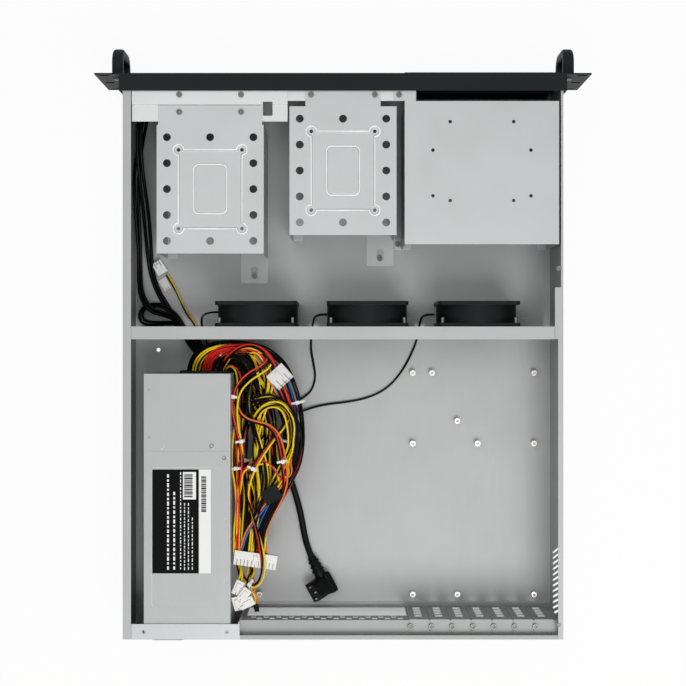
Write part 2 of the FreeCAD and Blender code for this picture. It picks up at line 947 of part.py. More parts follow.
def cage_bracket():
    """The plate with a step in it that carries the front end of one drive cage."""
    bracket = Piece("hdd_cage_bracket")
    bracket.pad(
        "YZ",
        (S.bracket_end, half_body - S.left_flange - S.fit * 2),
        poly(
            (tab_front, sheet_low),
            (bracket_fold - S.steel, sheet_low),
            (bracket_fold, beam_low),
            (bracket_rear, beam_low),
            (bracket_rear, sheet_low),
            (bracket_fold + S.steel, sheet_low),
            (bracket_fold, cage_top),
            (tab_front, cage_top),
        ),
    )
    window = depth(S.bracket_window_start)
    half_window = S.bracket_window_width / 2
    bracket.pocket(
        "XY",
        (beam_low, cage_top),
        rect(
            (S.bracket_window_across - half_window, S.bracket_window_across + half_window),
            (window, window + S.bracket_window_length),
        ),
        *[circle(place, hole_diameter) for place in [*bracket_screws, *tab_screws]],
    )


# Degrees that a pressed edge leans from upright
PRESS_SLOPE = 58


def drive_cage(label, across, cage_depth, tab_width, tab_start, screws):
    """A cage for three drives: an upturned channel with a pressed top, a front tab and a foot."""
    cage = Piece(label)
    near = depth(cage_depth)
    far = near + S.cage_length
    half = S.cage_width / 2
    low, high = across - half, across + half
    foot_top = floor_top + S.steel
    cage.pad(
        "XZ",
        (near, far),
        poly(
            (low, floor_top),
            (low + S.cage_foot, floor_top),
            (low + S.cage_foot, foot_top),
            (low + S.steel, foot_top),
            (low + S.steel, sheet_low),
            (high - S.steel, sheet_low),
            (high - S.steel, foot_top),
            (high - S.cage_foot, foot_top),
            (high - S.cage_foot, floor_top),
            (high, floor_top),
            (high, cage_top),
            (low, cage_top),
        ),
    )
    half_tab = tab_width / 2
    cage.pad("XY", (sheet_low, cage_top), rect((across - half_tab, across + half_tab), (tab_start, near)))
    foot = (low, low + S.foot_width)
    cage.pad(
        "XY",
        (floor_top, foot_top),
        round_rect(foot, (far - S.foot_length / 2, far + S.foot_length), S.foot_round),
    )
    half_ssd = S.ssd_hole_across / 2
    ssd_near = near + S.ssd_hole_start
    ssd_far = ssd_near + S.ssd_hole_along
    corners = [(across + half_ssd * side, end) for side in (-1, 1) for end in (ssd_near, ssd_far)]
    frame = rect((across - half_ssd, across + half_ssd), (ssd_near, ssd_far))
    lobes = [circle(corner, S.press_lobe * 2) for corner in corners]
    cage.pad("XY", (sheet_low - S.press_depth, sheet_low), frame)
    cage.pad("XY", (sheet_low - S.press_depth, sheet_low), *lobes)
    pressing = (cage_top - S.press_depth, cage_top)
    cage.pocket("XY", pressing, frame, slope=PRESS_SLOPE)
    cage.pocket("XY", pressing, *lobes, slope=PRESS_SLOPE)
    middle = (ssd_near + ssd_far) / 2
    half_inner = S.press_inner_width / 2
    half_length = S.press_inner_length / 2
    raised = round_rect(
        (across - half_inner, across + half_inner),
        (middle - half_length, middle + half_length),
        S.press_inner_round,
    )
    cage.pad("XY", pressing, raised, slope=PRESS_SLOPE)
    holes = [circle(corner, S.ssd_hole_diameter) for corner in corners]
    for row in range(5):
        columns = (-1, 0, 1) if row in (0, 4) else (-1, 1)
        for column in columns:
            centre = (
                across + S.cage_hole_columns / 2 * column,
                near + S.cage_hole_start + S.cage_hole_pitch * row,
            )
            holes.append(circle(centre, S.cage_hole_diameter))
    holes.extend(circle(place, hole_diameter) for place in screws)
    cage.pocket("XY", (sheet_low - S.press_depth, cage_top), *holes)
    screw = cage_foot_screw(across, cage_depth)
    keyhole = circle((screw[0], screw[1] - S.keyhole_rise), S.keyhole_diameter)
    cage.pocket("XY", (floor_top, foot_top), keyhole, circle(screw, hole_diameter))
    sides = []
    for row in range(3):
        for step in (0, 1):
            centre = (
                near + S.drive_hole_start + S.drive_hole_gap * step,
                S.drive_first + S.drive_pitch * row,
            )
            sides.append(circle(centre, S.drive_hole_diameter))
    cage.pocket("YZ", (low, high), *sides)


def bay_cage():
    """The wide cage behind the two bay covers."""
    cage = Piece("bay_cage")
    half = S.bay_width / 2
    low, high = -S.bay_across - half, bay_inner
    foot_top = floor_top + S.steel
    cage.pad(
        "XZ",
        (bay_front, bay_rear),
        poly(
            (low, floor_top),
            (low + S.bay_foot, floor_top),
            (low + S.bay_foot, foot_top),
            (low + S.steel, foot_top),
            (low + S.steel, sheet_low),
            (high - S.steel, sheet_low),
            (high - S.steel, foot_top),
            (high - S.bay_foot, foot_top),
            (high - S.bay_foot, floor_top),
            (high, floor_top),
            (high, cage_top),
            (low, cage_top),
        ),
    )
    side_tab = high + S.bay_side_tab
    cage.pad(
        "XY",
        (sheet_low, cage_top),
        poly(
            (high - S.bay_side_tab, tab_front),
            (side_tab, tab_front),
            (side_tab, flange_end),
            (high, flange_end),
            (high, bay_front),
            (high - S.bay_side_tab, bay_front),
        ),
    )
    floor_tab = (high, high + S.bay_floor_tab)
    cage.pad("XY", (floor_top, foot_top), rect(floor_tab, (bay_rear - S.bay_side_tab, bay_rear)))
    middle = -S.bay_across
    holes = [circle(bay_tab_screw, hole_diameter)]
    first = bay_front + S.bay_hole_start
    for side in (-1, 1):
        for end in (0, 1):
            near = first + S.ssd_hole_along * end
            holes.append(circle((middle + S.ssd_hole_across / 2 * side, near), S.ssd_hole_diameter))
            near = first + S.hdd_hole_offset + S.hdd_hole_along * end
            holes.append(circle((middle + S.hdd_hole_across / 2 * side, near), S.ssd_hole_diameter))
    cage.pocket("XY", (sheet_low, cage_top), *holes)
    cage.pocket("XY", (floor_top, foot_top), circle(floor_screws[2], hole_diameter))


def bay_cover(label, step):
    """A moulded blank: a face with a skirt behind it, open at the back."""
    cover = Piece(label)
    half = S.cover_width / 2
    low = window_low + S.fit + (S.cover_height + S.fit) * step
    high = low + S.cover_height
    across = (-S.bay_across - half, -S.bay_across + half)
    face = front - S.cover_stand
    back = tab_front - S.fit
    cover.pad("XZ", (face, back), rect(across, (low, high)))
    lips = (across[0] - S.cover_lip, across[1] + S.cover_lip)
    cover.pad("XZ", (face, front), rect(lips, (low, high)))
    cover.fillet(
        S.cover_round,
        lambda edge: abs(edge.BoundBox.YMin - face.value) < 1e-6 and edge.BoundBox.YLength < 1e-6,
    )
    wall = S.cover_wall
    cover.pocket(
        "XZ",
        (face + wall, back),
        rect((across[0] + wall, across[1] - wall), (low + wall, high - wall)),
    )


def fan_places():
    return [S.fan_first_across - S.fan_pitch * step for step in range(3)]


wall_front = depth(S.wall_depth)
wall_back = wall_front + S.steel


def fan_wall():
    """The folded bar across the case that carries the fans, with gates for the wires."""
    wall = Piece("fan_wall")
    half = half_body - S.right_tab - S.fit
    wall.pad(
        "YZ",
        (-half, half),
        poly(
            (wall_front - S.wall_foot, floor_top),
            (wall_back, floor_top),
            (wall_back, top - S.steel),
            (wall_front + S.wall_flange, top - S.steel),
            (wall_front + S.wall_flange, top),
            (wall_front, top),
            (wall_front, floor_top + S.steel),
            (wall_front - S.wall_foot, floor_top + S.steel),
        ),
    )
    holes = []
    for across in fan_places():
        holes.append(circle((across, S.fan_rise), S.fan_bore))
        for side in (-1, 1):
            for row in (-1, 1):
                centre = (
                    across + S.fan_hole_spacing / 2 * side,
                    S.fan_rise + S.fan_hole_spacing / 2 * row,
                )
                holes.append(circle(centre, S.fan_hole_diameter))
    wall.pocket("XZ", (wall_front, wall_back), *holes)
    gates = [rect(
        (S.cable_gate_low, S.cable_gate_low + S.cable_gate_width),
        (0, floor_top + S.cable_gate_tall),
    )]
    for across in fan_places()[1:]:
        middle = across + S.lead_gate_offset
        gates.append(rect(
            (middle, middle + S.lead_gate_width),
            (0, floor_top + S.lead_gate_tall),
        ))
    wall.pocket("XZ", (wall_front - S.wall_foot, wall_back), *gates)


fan_front = wall_front - S.fan_depth
shaft_room = S.shaft_hold + S.rotor_gap


def fan_frame(label, across):
    """A fan's moulded frame: two square rims, a round duct, and the motor seat on its struts."""
    frame = Piece(label)
    half = S.fan_size / 2
    deep = S.fan_depth
    rim = S.fan_rim
    square = round_rect((-half, half), (-half, half), S.fan_corner)
    frame.pad("XZ", (0, rim), square)
    frame.pad("XZ", (rim, deep - rim), circle((0, 0), S.fan_size - S.fit))
    frame.pad("XZ", (deep - rim, deep), square)
    frame.pocket("XZ", (0, deep), circle((0, 0), S.fan_bore))
    seat = (deep - S.fan_motor_depth, deep)
    frame.pad("XZ", seat, circle((0, 0), S.fan_motor_diameter))
    strut = S.fan_strut_width / 2
    reach = S.fan_bore / 2 + S.steel
    root = S.fan_motor_diameter / 2 - S.fan_strut_width
    arm = frame.pad("XZ", seat, rect((root, reach), (-strut, strut)))
    frame.around(arm, "Y", 4)
    corner = S.fan_hole_spacing / 2
    holes = [
        circle((corner * side, corner * row), S.fan_hole_diameter) for side in (-1, 1) for row in (-1, 1)
    ]
    frame.pocket("XZ", (0, deep), *holes)
    bore = S.shaft_diameter + S.shaft_clearance * 2
    frame.pocket("XZ", (seat[0], seat[0] + shaft_room), circle((0, 0), bore))
    frame.place(across, fan_front, S.fan_rise)


def rotor(label, hub, hub_deep, reach, chords, rises, seat):
    """A hub with a rounded nose, its shaft, and blades that twist from root to tip."""
    turning = Piece(label)
    radius = hub / 2
    nose = S.hub_nose
    shaft = S.shaft_diameter / 2
    shaft_end = seat + S.rotor_gap + S.shaft_hold
    turning.revolve(
        "XY",
        "Y",
        poly(
            (0, seat - hub_deep),
            (radius - nose, seat - hub_deep),
            (radius, seat - hub_deep + nose),
            (radius, seat),
            (shaft, seat),
            (shaft, shaft_end),
            (0, shaft_end),
        ),
    )
    thick = S.blade_sheet
    middle = seat - hub_deep / 2

    def blade_section(wide, tall):
        return poly(
            (middle - tall / 2, -wide / 2),
            (middle - tall / 2 + thick, -wide / 2),
            (middle + tall / 2 + thick, wide / 2),
            (middle + tall / 2, wide / 2),
        )

    blade = turning.loft(
        "YZ",
        [
            (radius - nose * 2, blade_section(chords[0], rises[0])),
            (reach, blade_section(chords[1], rises[1])),
        ],
    )
    turning.around(blade, "Y", S.blade_count)
    return turning


def fan_rotor(label, across):
    seat = S.fan_depth - S.fan_motor_depth - S.rotor_gap
    turning = rotor(
        label,
        S.hub_diameter,
        S.hub_depth,
        S.blade_reach,
        (S.blade_root_chord, S.blade_chord),
        (S.blade_root_rise, S.blade_tip_rise),
        seat,
    )
    turning.place(across, fan_front, S.fan_rise)


supply_low = floor_top
supply_top = top - S.steel - S.supply_gap
supply_lip = supply_top - S.steel
supply_outer = S.supply_inner + S.supply_width
supply_middle = S.supply_inner + S.supply_width / 2
supply_front = wall_front + S.wall_flange + S.wire_room
supply_back = rear - S.steel - S.fit
supply_seam = supply_front + S.supply_seam
bay_floor = supply_low + S.steel
bay_rise = (supply_lip - S.steel - bay_floor - S.shelf_sheet) / 2
backplane_back = supply_front + S.backplane_start + S.board_sheet
module_front = backplane_back + S.socket_depth + S.fit
module_rear = rear - S.module_recess


def module_low(step):
    return bay_floor + S.fit + (bay_rise + S.shelf_sheet) * step


def module_middle(step):
    return module_low(step) + S.module_height / 2


def psu_cage():
    """The power supply's folded housing, open at the rear, with a shelf between its two bays."""
    cage = Piece("psu_cage")
    inner, outer = S.supply_inner, supply_outer
    wall = S.steel
    cage.pad(
        "XZ",
        (supply_front, supply_back),
        poly(
            (inner, supply_low),
            (outer, supply_low),
            (outer, supply_lip),
            (outer - S.supply_lip_width, supply_lip),
            (outer - S.supply_lip_width, supply_lip - wall),
            (outer - wall, supply_lip - wall),
            (outer - wall, bay_floor),
            (inner + wall, bay_floor),
            (inner + wall, supply_lip - wall),
            (inner + S.supply_lip_width, supply_lip - wall),
            (inner + S.supply_lip_width, supply_lip),
            (inner, supply_lip),
        ),
    )
    inside = (inner + wall, outer - wall)
    cage.pad("XZ", (supply_front, supply_front + wall), rect(inside, (bay_floor, supply_lip)))
    shelf = bay_floor + bay_rise
    cage.pad("XZ", (backplane_back, supply_back), rect(inside, (shelf, shelf + S.shelf_sheet)))
    half = S.exit_width / 2
    cage.pocket(
        "XZ",
        (supply_front, supply_front + wall),
        rect((S.exit_across - half, S.exit_across + half), (S.exit_low, S.exit_low + S.exit_tall)),
    )


def psu_grommet():
    """The plastic frame that lines the wires' way out of the housing."""
    frame = Piece("psu_grommet")
    half = S.exit_width / 2
    stand = S.grommet_stand
    wall = S.grommet_wall
    across = (S.exit_across - half, S.exit_across + half)
    up = (S.exit_low, S.exit_low + S.exit_tall)
    frame.pad("XZ", (supply_front, supply_front + S.steel), rect(across, up))
    frame.pad(
        "XZ",
        (supply_front - stand, supply_front),
        round_rect((across[0] - wall, across[1] + wall), (up[0] - wall, up[1] + wall), wall),
    )
    frame.pocket(
        "XZ",
        (supply_front - stand, supply_front + S.steel),
        rect((across[0] + wall, across[1] - wall), (up[0] + wall, up[1] - wall)),
    )


def psu_top_front():
    lid = Piece("psu_top_front")
    lid.pad("XY", (supply_lip, supply_top), rect((S.supply_inner, supply_outer), (supply_front, supply_seam)))
    edge = supply_outer - S.top_hole_inset
    for place in (S.top_hole_near, S.top_hole_far):
        lid.pocket("XY", (supply_lip, supply_top), circle((edge, supply_front + place), S.top_hole_diameter))
    rivets = [
        circle((supply_middle + S.top_rivet_half * side, supply_seam - S.top_rivet_inset), S.rivet_diameter)
        for side in (-1, 1)
    ]
    lid.pad("XY", (supply_top, supply_top + S.rivet_rise), *rivets)


def psu_top_rear():
    lid = Piece("psu_top_rear")
    start = supply_seam + S.fit / 2
    lid.pad("XY", (supply_lip, supply_top), rect((S.supply_inner, supply_outer), (start, supply_back)))
    half = S.label_recess_width / 2
    near = supply_front + S.label_recess_start
    lid.pocket(
        "XY",
        (supply_top - S.label_recess_deep, supply_top),
        round_rect(
            (S.label_recess_across - half, S.label_recess_across + half),
            (near, near + S.label_recess_length),
            S.label_recess_round,
        ),
    )
    column = S.supply_inner + S.dimple_inset
    row = supply_seam + S.dimple_first
    dimples = [circle((column, row + S.dimple_pitch * step), S.rivet_diameter) for step in range(3)]
    lid.pocket("XY", (supply_top - S.label_recess_deep, supply_top), *dimples)


def psu_backplane():
    """The board at the back of the two bays, with a socket for each module."""
    board = Piece("psu_backplane")
    across = (S.supply_inner + S.steel + S.fit, supply_outer - S.steel - S.fit)
    front_face = backplane_back - S.board_sheet
    board.pad("XZ", (front_face, backplane_back - S.fit / 2), rect(across, (bay_floor, supply_lip - S.steel)))
    half = S.socket_width / 2
    for step in (0, 1):
        middle = module_middle(step)
        board.pad(
            "XZ",
            (backplane_back - S.fit / 2, backplane_back + S.socket_depth),
            rect(
                (supply_middle - half, supply_middle + half),
                (middle - S.socket_tall / 2, middle + S.socket_tall / 2),
            ),
        )


def fan_middle():
    return supply_middle + S.module_fan_across


def inlet_middle():
    return supply_middle - S.inlet_across


def psu_module(step):
    """One power supply module: case, mains inlet, pull handle, latch lever and its own fan."""
    number = step + 1
    low = module_low(step)
    middle = module_middle(step)
    high = low + S.module_height
    case = Piece(f"psu_module_{number}")
    half = S.module_width / 2
    sides = (supply_middle - half, supply_middle + half)
    case.pad("XZ", (module_front, module_rear), rect(sides, (low, high)))
    fan = (fan_middle(), middle)
    seat = module_rear - S.module_fan_deep
    case.pocket("XZ", (seat, module_rear), circle(fan, S.module_fan_bore))
    reach = S.module_fan_bore / 2
    bars = []
    for row in (-1, 0, 1):
        place = middle + S.guard_pitch * row
        bar = (place - S.guard_bar / 2, place + S.guard_bar / 2)
        bars.append(rect((fan[0] - reach, fan[0] + reach), bar))
    case.pad("XZ", (module_rear - S.guard_sheet, module_rear), *bars)
    across = S.inlet_width / 2 + S.fit / 4
    tall = S.inlet_tall / 2 + S.fit / 4
    inlet = (inlet_middle(), middle)
    case.pocket(
        "XZ",
        (module_rear - S.inlet_deep, module_rear),
        rect((inlet[0] - across, inlet[0] + across), (inlet[1] - tall, inlet[1] + tall)),
    )
    bore = S.shaft_diameter + S.shaft_clearance * 2
    case.pocket("XZ", (seat - shaft_room, seat), circle(fan, bore))
    latch = latch_across()
    ear = S.latch_tall / 2
    pin = S.latch_pin_diameter
    pivot = module_rear + S.latch_pivot
    for side in (-1, 1):
        near = middle + (ear + S.fit) * side
        far = near + S.guard_bar * side
        span = (near, far) if side > 0 else (far, near)
        case.pad("XY", span, rect((latch - pin, latch + pin), (module_rear, pivot + pin)))
    case.pad("XY", (middle - ear - S.fit, middle + ear + S.fit), circle((latch, pivot), pin))
    socket = Piece(f"psu_inlet_{number}")
    across = S.inlet_width / 2
    tall = S.inlet_tall / 2
    cut = S.inlet_cut
    socket.pad(
        "XZ",
        (module_rear - S.inlet_deep, module_rear),
        rect((inlet[0] - across, inlet[0] + across), (inlet[1] - tall, inlet[1] + tall)),
    )
    rim = S.inlet_rim
    socket.pocket(
        "XZ",
        (module_rear - S.inlet_deep + rim, module_rear),
        poly(
            (inlet[0] - across + rim, inlet[1] - tall + rim),
            (inlet[0] + across - rim, inlet[1] - tall + rim),
            (inlet[0] + across - rim, inlet[1] + tall - rim - cut),
            (inlet[0] + across - rim - cut, inlet[1] + tall - rim),
            (inlet[0] - across + rim + cut, inlet[1] + tall - rim),
            (inlet[0] - across + rim, inlet[1] + tall - rim - cut),
        ),
    )
    pins = []
    for column, row in ((-1, 0), (0, 1), (1, 0)):
        x = inlet[0] + S.pin_spread * column
        z = inlet[1] - S.pin_tall / 2 + S.pin_tall * row
        pins.append(block((x, z), S.pin_width, S.pin_tall))
    socket.pad("XZ", (module_rear - S.inlet_deep + rim, module_rear - rim), *pins)
    pull = Piece(f"psu_handle_{number}")
    half = S.pull_width / 2
    bar = S.pull_bar
    x0, x1 = fan_middle() - half, fan_middle() + half
    end = module_rear + S.pull_reach
    pull.pad(
        "XY",
        (high - S.pull_tall - S.fit, high - S.fit),
        poly(
            (x0, module_rear),
            (x0 + bar, module_rear),
            (x0 + bar, end - bar),
            (x1 - bar, end - bar),
            (x1 - bar, module_rear),
            (x1, module_rear),
            (x1, end),
            (x0, end),
        ),
    )
    pull.fillet(
        S.pull_round,
        lambda edge: along(Vector(0, 0, 1))(edge) and abs(edge.BoundBox.YMax - end.value) < 1e-6,
    )
    lever = Piece(f"psu_latch_{number}")
    knuckle = pin + S.latch_sheet * 2
    half_sheet = S.latch_sheet / 2
    tip = module_rear + S.latch_reach
    lever.pad("XY", (middle - ear, middle + ear), circle((latch, pivot), knuckle))
    lever.pad(
        "XY",
        (middle - ear, middle + ear),
        poly(
            (latch - half_sheet, pivot),
            (latch + half_sheet, pivot),
            (latch + half_sheet, tip - S.latch_sheet),
            (latch + S.latch_pad, tip - S.latch_sheet),
            (latch + S.latch_pad, tip),
            (latch - half_sheet, tip),
        ),
    )
    lever.pocket("XY", (middle - ear, middle + ear), circle((latch, pivot), pin + S.shaft_clearance * 2))
    turning = rotor(
        f"psu_rotor_{number}",
        S.module_hub,
        S.module_hub_deep,
        S.module_rotor_reach,
        (S.module_root_chord, S.module_chord),
        (S.module_root_rise, S.module_tip_rise),
        -S.rotor_gap,
    )
    turning.body.Placement = Placement(Vector(), Rotation(Vector(0, 0, 1), 180))
    turning.place(fan[0], seat, middle)


def latch_across():
    return supply_middle - S.latch_across


def rear_panel():
    """The folded rear wall: a recessed face for boards with a ledge above it."""
    panel = Piece("rear_panel")
    wall = S.steel
    inner = rear - S.rear_recess - wall
    outer = rear - S.rear_recess
    panel.pad(
        "YZ",
        (S.fit - inner_half, S.supply_bay),
        poly(
            (inner - S.rear_flange, floor_top),
            (outer, floor_top),
            (outer, S.ledge_height - wall),
            (rear, S.ledge_height - wall),
            (rear, top),
            (rear - S.ledge_lip, top),
            (rear - S.ledge_lip, top - wall),
            (rear - wall, top - wall),
            (rear - wall, S.ledge_height),
            (inner, S.ledge_height),
            (inner, floor_top + wall),
            (inner - S.rear_flange, floor_top + wall),
        ),
    )
    panel.pocket(
        "YZ",
        (-half_body, -half_body + S.right_flange + S.fit),
        rect((rear - S.ledge_lip - wall, rear + wall), (top - wall - S.fit, top + wall)),
    )
    half = S.io_width / 2
    cuts = [rect((S.io_across - half, S.io_across + half), (S.io_low, S.io_low + S.io_tall))]
    half = S.slot_open_width / 2
    slot_open = (S.slot_open_low, S.slot_open_low + S.slot_open_tall)
    for step in range(7):
        across = -S.slot_first - S.slot_pitch * step
        cuts.append(rect((across - half, across + half), slot_open))
    panel.pocket("XZ", (inner, outer), *cuts)
    first = S.io_across - half_vents()
    upper = panel.pocket("XZ", (inner, outer), hexagon((first, S.vent_low + S.vent_rise), S.vent_across))
    panel.repeat(upper, "X", S.vent_pitch, S.vent_columns)
    lower = panel.pocket("XZ", (inner, outer), hexagon((first + S.vent_pitch / 2, S.vent_low), S.vent_across))
    panel.repeat(lower, "X", S.vent_pitch, S.vent_columns)
    holes = [circle(place, hole_diameter) for place in slot_screws]
    panel.pocket("XY", (S.ledge_height - wall, S.ledge_height), *holes)


def supply_bay():
    """The folded frame round the power supply's mouth, with a flange for the lid above it."""
    frame = Piece("supply_bay")
    wall = S.steel
    bay = S.supply_bay
    edge = inner_half - S.fit
    lip = half_body - S.left_flange - S.fit
    frame.pad("XZ", (rear - wall, rear), rect((bay, edge), (floor_top, top - wall - S.fit)))
    frame.pad("XY", (floor_top, top), rect((bay, bay + wall), (rear - S.rear_recess - wall, rear)))
    frame.pad("XY", (top - wall, top), rect((bay, lip), (rear - S.supply_bay_flange, rear)))
    frame.pad("XZ", (rear - wall, rear), rect((bay, lip), (top - wall - S.fit, top)))
    half = S.module_width / 2 + S.fit
    openings = []
    for step in (0, 1):
        openings.append(
            rect(
                (supply_middle - half, supply_middle + half),
                (module_low(step) - S.fit / 2, module_low(step) + S.module_height + S.fit / 2),
            )
        )
    frame.pocket("XZ", (rear - wall, rear), *openings)
    middle = (bay + lip) / 2
    lid_holes = [
        circle((middle + S.lid_hole_pitch / 2 * side, rear - S.lid_hole_inset), S.lid_hole_diameter)
        for side in (-1, 1)
    ]
    frame.pocket("XY", (top - wall, top), *lid_holes)


def half_vents():
    return S.vent_pitch * (S.vent_columns - 0.5) / 2


def slot_cover(step):
    """A bent blank over one board slot, with a column of vents and a tab under its screw."""
    cover = Piece(f"slot_cover_{step + 1}")
    across = -S.slot_first - S.slot_pitch * step
    half = S.slot_cover_width / 2
    thick = S.slot_cover_sheet
    high = S.ledge_height + thick
    face = ledge_inner - thick
    cover.pad(
        "YZ",
        (across - half, across + half),
        poly(
            (face, floor_top + S.steel + S.fit),
            (ledge_inner, floor_top + S.steel + S.fit),
            (ledge_inner, S.ledge_height),
            (ledge_inner + S.slot_tab, S.ledge_height),
            (ledge_inner + S.slot_tab, high),
            (face, high),
        ),
    )
    cover.pocket("XY", (S.ledge_height, high), circle(slot_screws[step], hole_diameter))
    half = S.slot_vent_width / 2
    vents = []
    for row in range(4):
        low = S.slot_vent_low + S.slot_vent_pitch * row
        vents.append(rect((across - half, across + half), (low, low + S.slot_vent_tall)))
    cover.pocket("XZ", (face, ledge_inner), *vents)


def control_board():
    """The small board behind the panel, on four posts, with its switches and lights."""
    board = Piece("control_board")
    half = S.control_width / 2
    across = S.control_across
    back = front + S.control_depth
    high = S.control_low + S.control_tall
    board.pad("XZ", (back, back + S.board_sheet), rect((across - half, across + half), (S.control_low, high)))
    posts = []
    for side in (-1, 1):
        for level in (S.control_low + S.post_inset, high - S.post_inset):
            posts.append(circle((across + (half - S.post_inset) * side, level), S.post_diameter))
    board.pad("XZ", (panel_back, back), *posts)
    switch = S.switch_size / 2
    for level in (S.power_rise, S.reset_rise):
        square = rect((across - switch, across + switch), (level - switch, level + switch))
        board.pad("XZ", (back - S.switch_depth, back), square)
    lights = [circle((across + S.light_pitch * step, S.light_rise), S.light_diameter) for step in (-1, 0, 1)]
    board.pad("XZ", (front - S.fit, back), *lights)


def button(label, level, diameter):
    """A cap that stands through the panel, with a skirt that keeps it in."""
    cap = Piece(label)
    skirt_front = S.panel_sheet + S.fit
    skirt_back = skirt_front + S.button_skirt_sheet
    cap.pad("XZ", (-S.button_stand, skirt_back), circle((0, 0), diameter))
    cap.pad("XZ", (skirt_front, skirt_back), circle((0, 0), diameter + S.button_skirt * 2))
    stem_end = S.control_depth - S.switch_depth - S.button_travel - S.fit
    cap.pad("XZ", (skirt_back, stem_end), circle((0, 0), S.button_stem))
    cap.place(S.control_across, front, level)


def usb_ports():
    """Two socket shells with their tongues, open to the front."""
    ports = Piece("usb_ports")
    half = S.port_width / 2
    wall = S.port_wall
    tongue = half - wall * 4
    across = S.control_across
    back = front + S.control_depth
    shells = []
    rooms = []
    tongues = []
    for step in (0, 1):
        low = S.port_low + S.port_pitch * step
        high = low + S.port_tall
        shells.append(rect((across - half, across + half), (low, high)))
        rooms.append(rect((across - half + wall, across + half - wall), (low + wall, high - wall)))
        shelf = high - wall * 2
        tongues.append(rect((across - tongue, across + tongue), (shelf - S.port_tongue, shelf)))
    ports.pad("XZ", (front, back), *shells)
    ports.pocket("XZ", (front, back - wall), *rooms)
    ports.pad("XZ", (front + wall * 2, back - wall), *tongues)


# Fasteners and posts, as groups of like solids
def rod(name, axis, centre, diameter, span):
    """A cylinder along Y or Z, over a span on that axis."""
    made = doc.addObject("Part::Cylinder", name)
    low, high = as_size(span[0]), as_size(span[1])
    bind(made, "Radius", diameter / 2)
    bind(made, "Height", high - low)
    if axis == "y":
        made.Placement = Placement(Vector(), Rotation(Vector(1, 0, 0), -90))
        places = (centre[0], low, centre[1])
    else:
        places = (centre[0], centre[1], low)
    for letter, size in zip("xyz", places):
        bind(made, f"Placement.Base.{letter}", size)
    return made


AXIS_ORDER = {"y": 1, "z": 2}


def cross(name, axis, centre, span):
    """The two crossed slots in a screw's head, over a span on its axis."""
    bars = []
    for wide, tall in ((S.cross_length, S.cross_width), (S.cross_width, S.cross_length)):
        bar = doc.addObject("Part::Box", f"{name}_bar_{len(bars)}")
        sides = [wide, tall]
        corner = [centre[0] - wide / 2, centre[1] - tall / 2]
        sides.insert(AXIS_ORDER[axis], span[1] - span[0])
        corner.insert(AXIS_ORDER[axis], span[0])
        for edge, size in zip(("Length", "Width", "Height"), sides):
            bind(bar, edge, size)
        for letter, size in zip("xyz", corner):
            bind(bar, f"Placement.Base.{letter}", size)
        bars.append(bar)
    made = doc.addObject("Part::Fuse", f"{name}_cross")
    made.Base, made.Tool = bars
    return made


def screw(name, axis, centre, head, face, head_rise, length):
    """A head that stands on a face, with a crossed slot, and a shank that goes the other way."""
    crown = face + head_rise
    blank = doc.addObject("Part::Fuse", f"{name}_blank")
    blank.Base = rod(f"{name}_shank", axis, centre, S.screw_shank * 2, (face - length, face))
    blank.Tool = rod(f"{name}_head", axis, centre, head * 2, (face, crown))
    made = doc.addObject("Part::Cut", name)
    made.Base = blank
    made.Tool = cross(name, axis, centre, (face + head_rise / 2, crown))
    return made


def group(label, members):
    made = doc.addObject("Part::Compound", label)
    made.Label = label
    made.Links = members
    pieces.append(made)


def chassis_screws():
    members = []
    for place in [*bracket_screws, *tab_screws, *middle_screws, bay_tab_screw]:
        name = f"top_screw_{len(members)}"
        members.append(screw(name, "z", place, S.screw_head, cage_top, S.lid_gap, S.screw_length))
    foot_top = floor_top + S.steel
    for place in floor_screws:
        name = f"floor_screw_{len(members)}"
        members.append(screw(name, "z", place, S.screw_head, foot_top, S.screw_rise, foot_top))
    tab_top = S.ledge_height + S.slot_cover_sheet
    for place in slot_screws:
        name = f"slot_screw_{len(members)}"
        members.append(screw(name, "z", place, S.screw_head, tab_top, S.screw_rise, S.screw_length))
    for side in (-1, 1):
        for row in (-1, 1):
            place = (S.handle_offset * side, S.panel_height / 2 + S.handle_span / 2 * row)
            name = f"handle_screw_{len(members)}"
            length = S.panel_sheet + S.screw_length - S.fit
            members.append(screw(name, "y", place, S.handle_screw_head, panel_back, S.screw_rise, length))
    group("chassis_screws", members + fan_screws())


def fan_screws():
    members = []
    corner = S.fan_hole_spacing / 2
    length = S.steel + S.fan_screw_length
    for across in fan_places():
        for side in (-1, 1):
            for row in (-1, 1):
                place = (across + corner * side, S.fan_rise + corner * row)
                name = f"fan_screw_{len(members)}"
                members.append(screw(name, "y", place, S.screw_head, wall_back, S.screw_rise, length))
    return members


def board_standoffs():
    """Posts for the main board, on the standard pattern of its holes."""
    column = -S.board_first_across
    outer = column - S.board_span
    between = column - S.board_mid_span
    left = column + S.board_left_span
    last = rear - S.board_rear
    middle = last - S.board_mid_row
    first = last - S.board_front_row
    places = [
        (left, last),
        (column, last),
        (between, last),
        (outer, last),
        (column, middle),
        (column - S.board_extra_span, middle),
        (outer, middle),
        (column, first),
        (column - S.board_near_span, first),
        (outer, first),
        (between, first + S.board_extra_row),
    ]
    members = []
    high = floor_top + S.standoff_height
    for number, place in enumerate(places):
        post = rod(f"post_{number}", "z", place, S.standoff_diameter, (floor_top, high))
        bore = rod(f"bore_{number}", "z", place, S.standoff_bore, (floor_top + S.steel, high))
        made = doc.addObject("Part::Cut", f"standoff_{number}")
        made.Base = post
        made.Tool = bore
        members.append(made)
    group("board_standoffs", members)


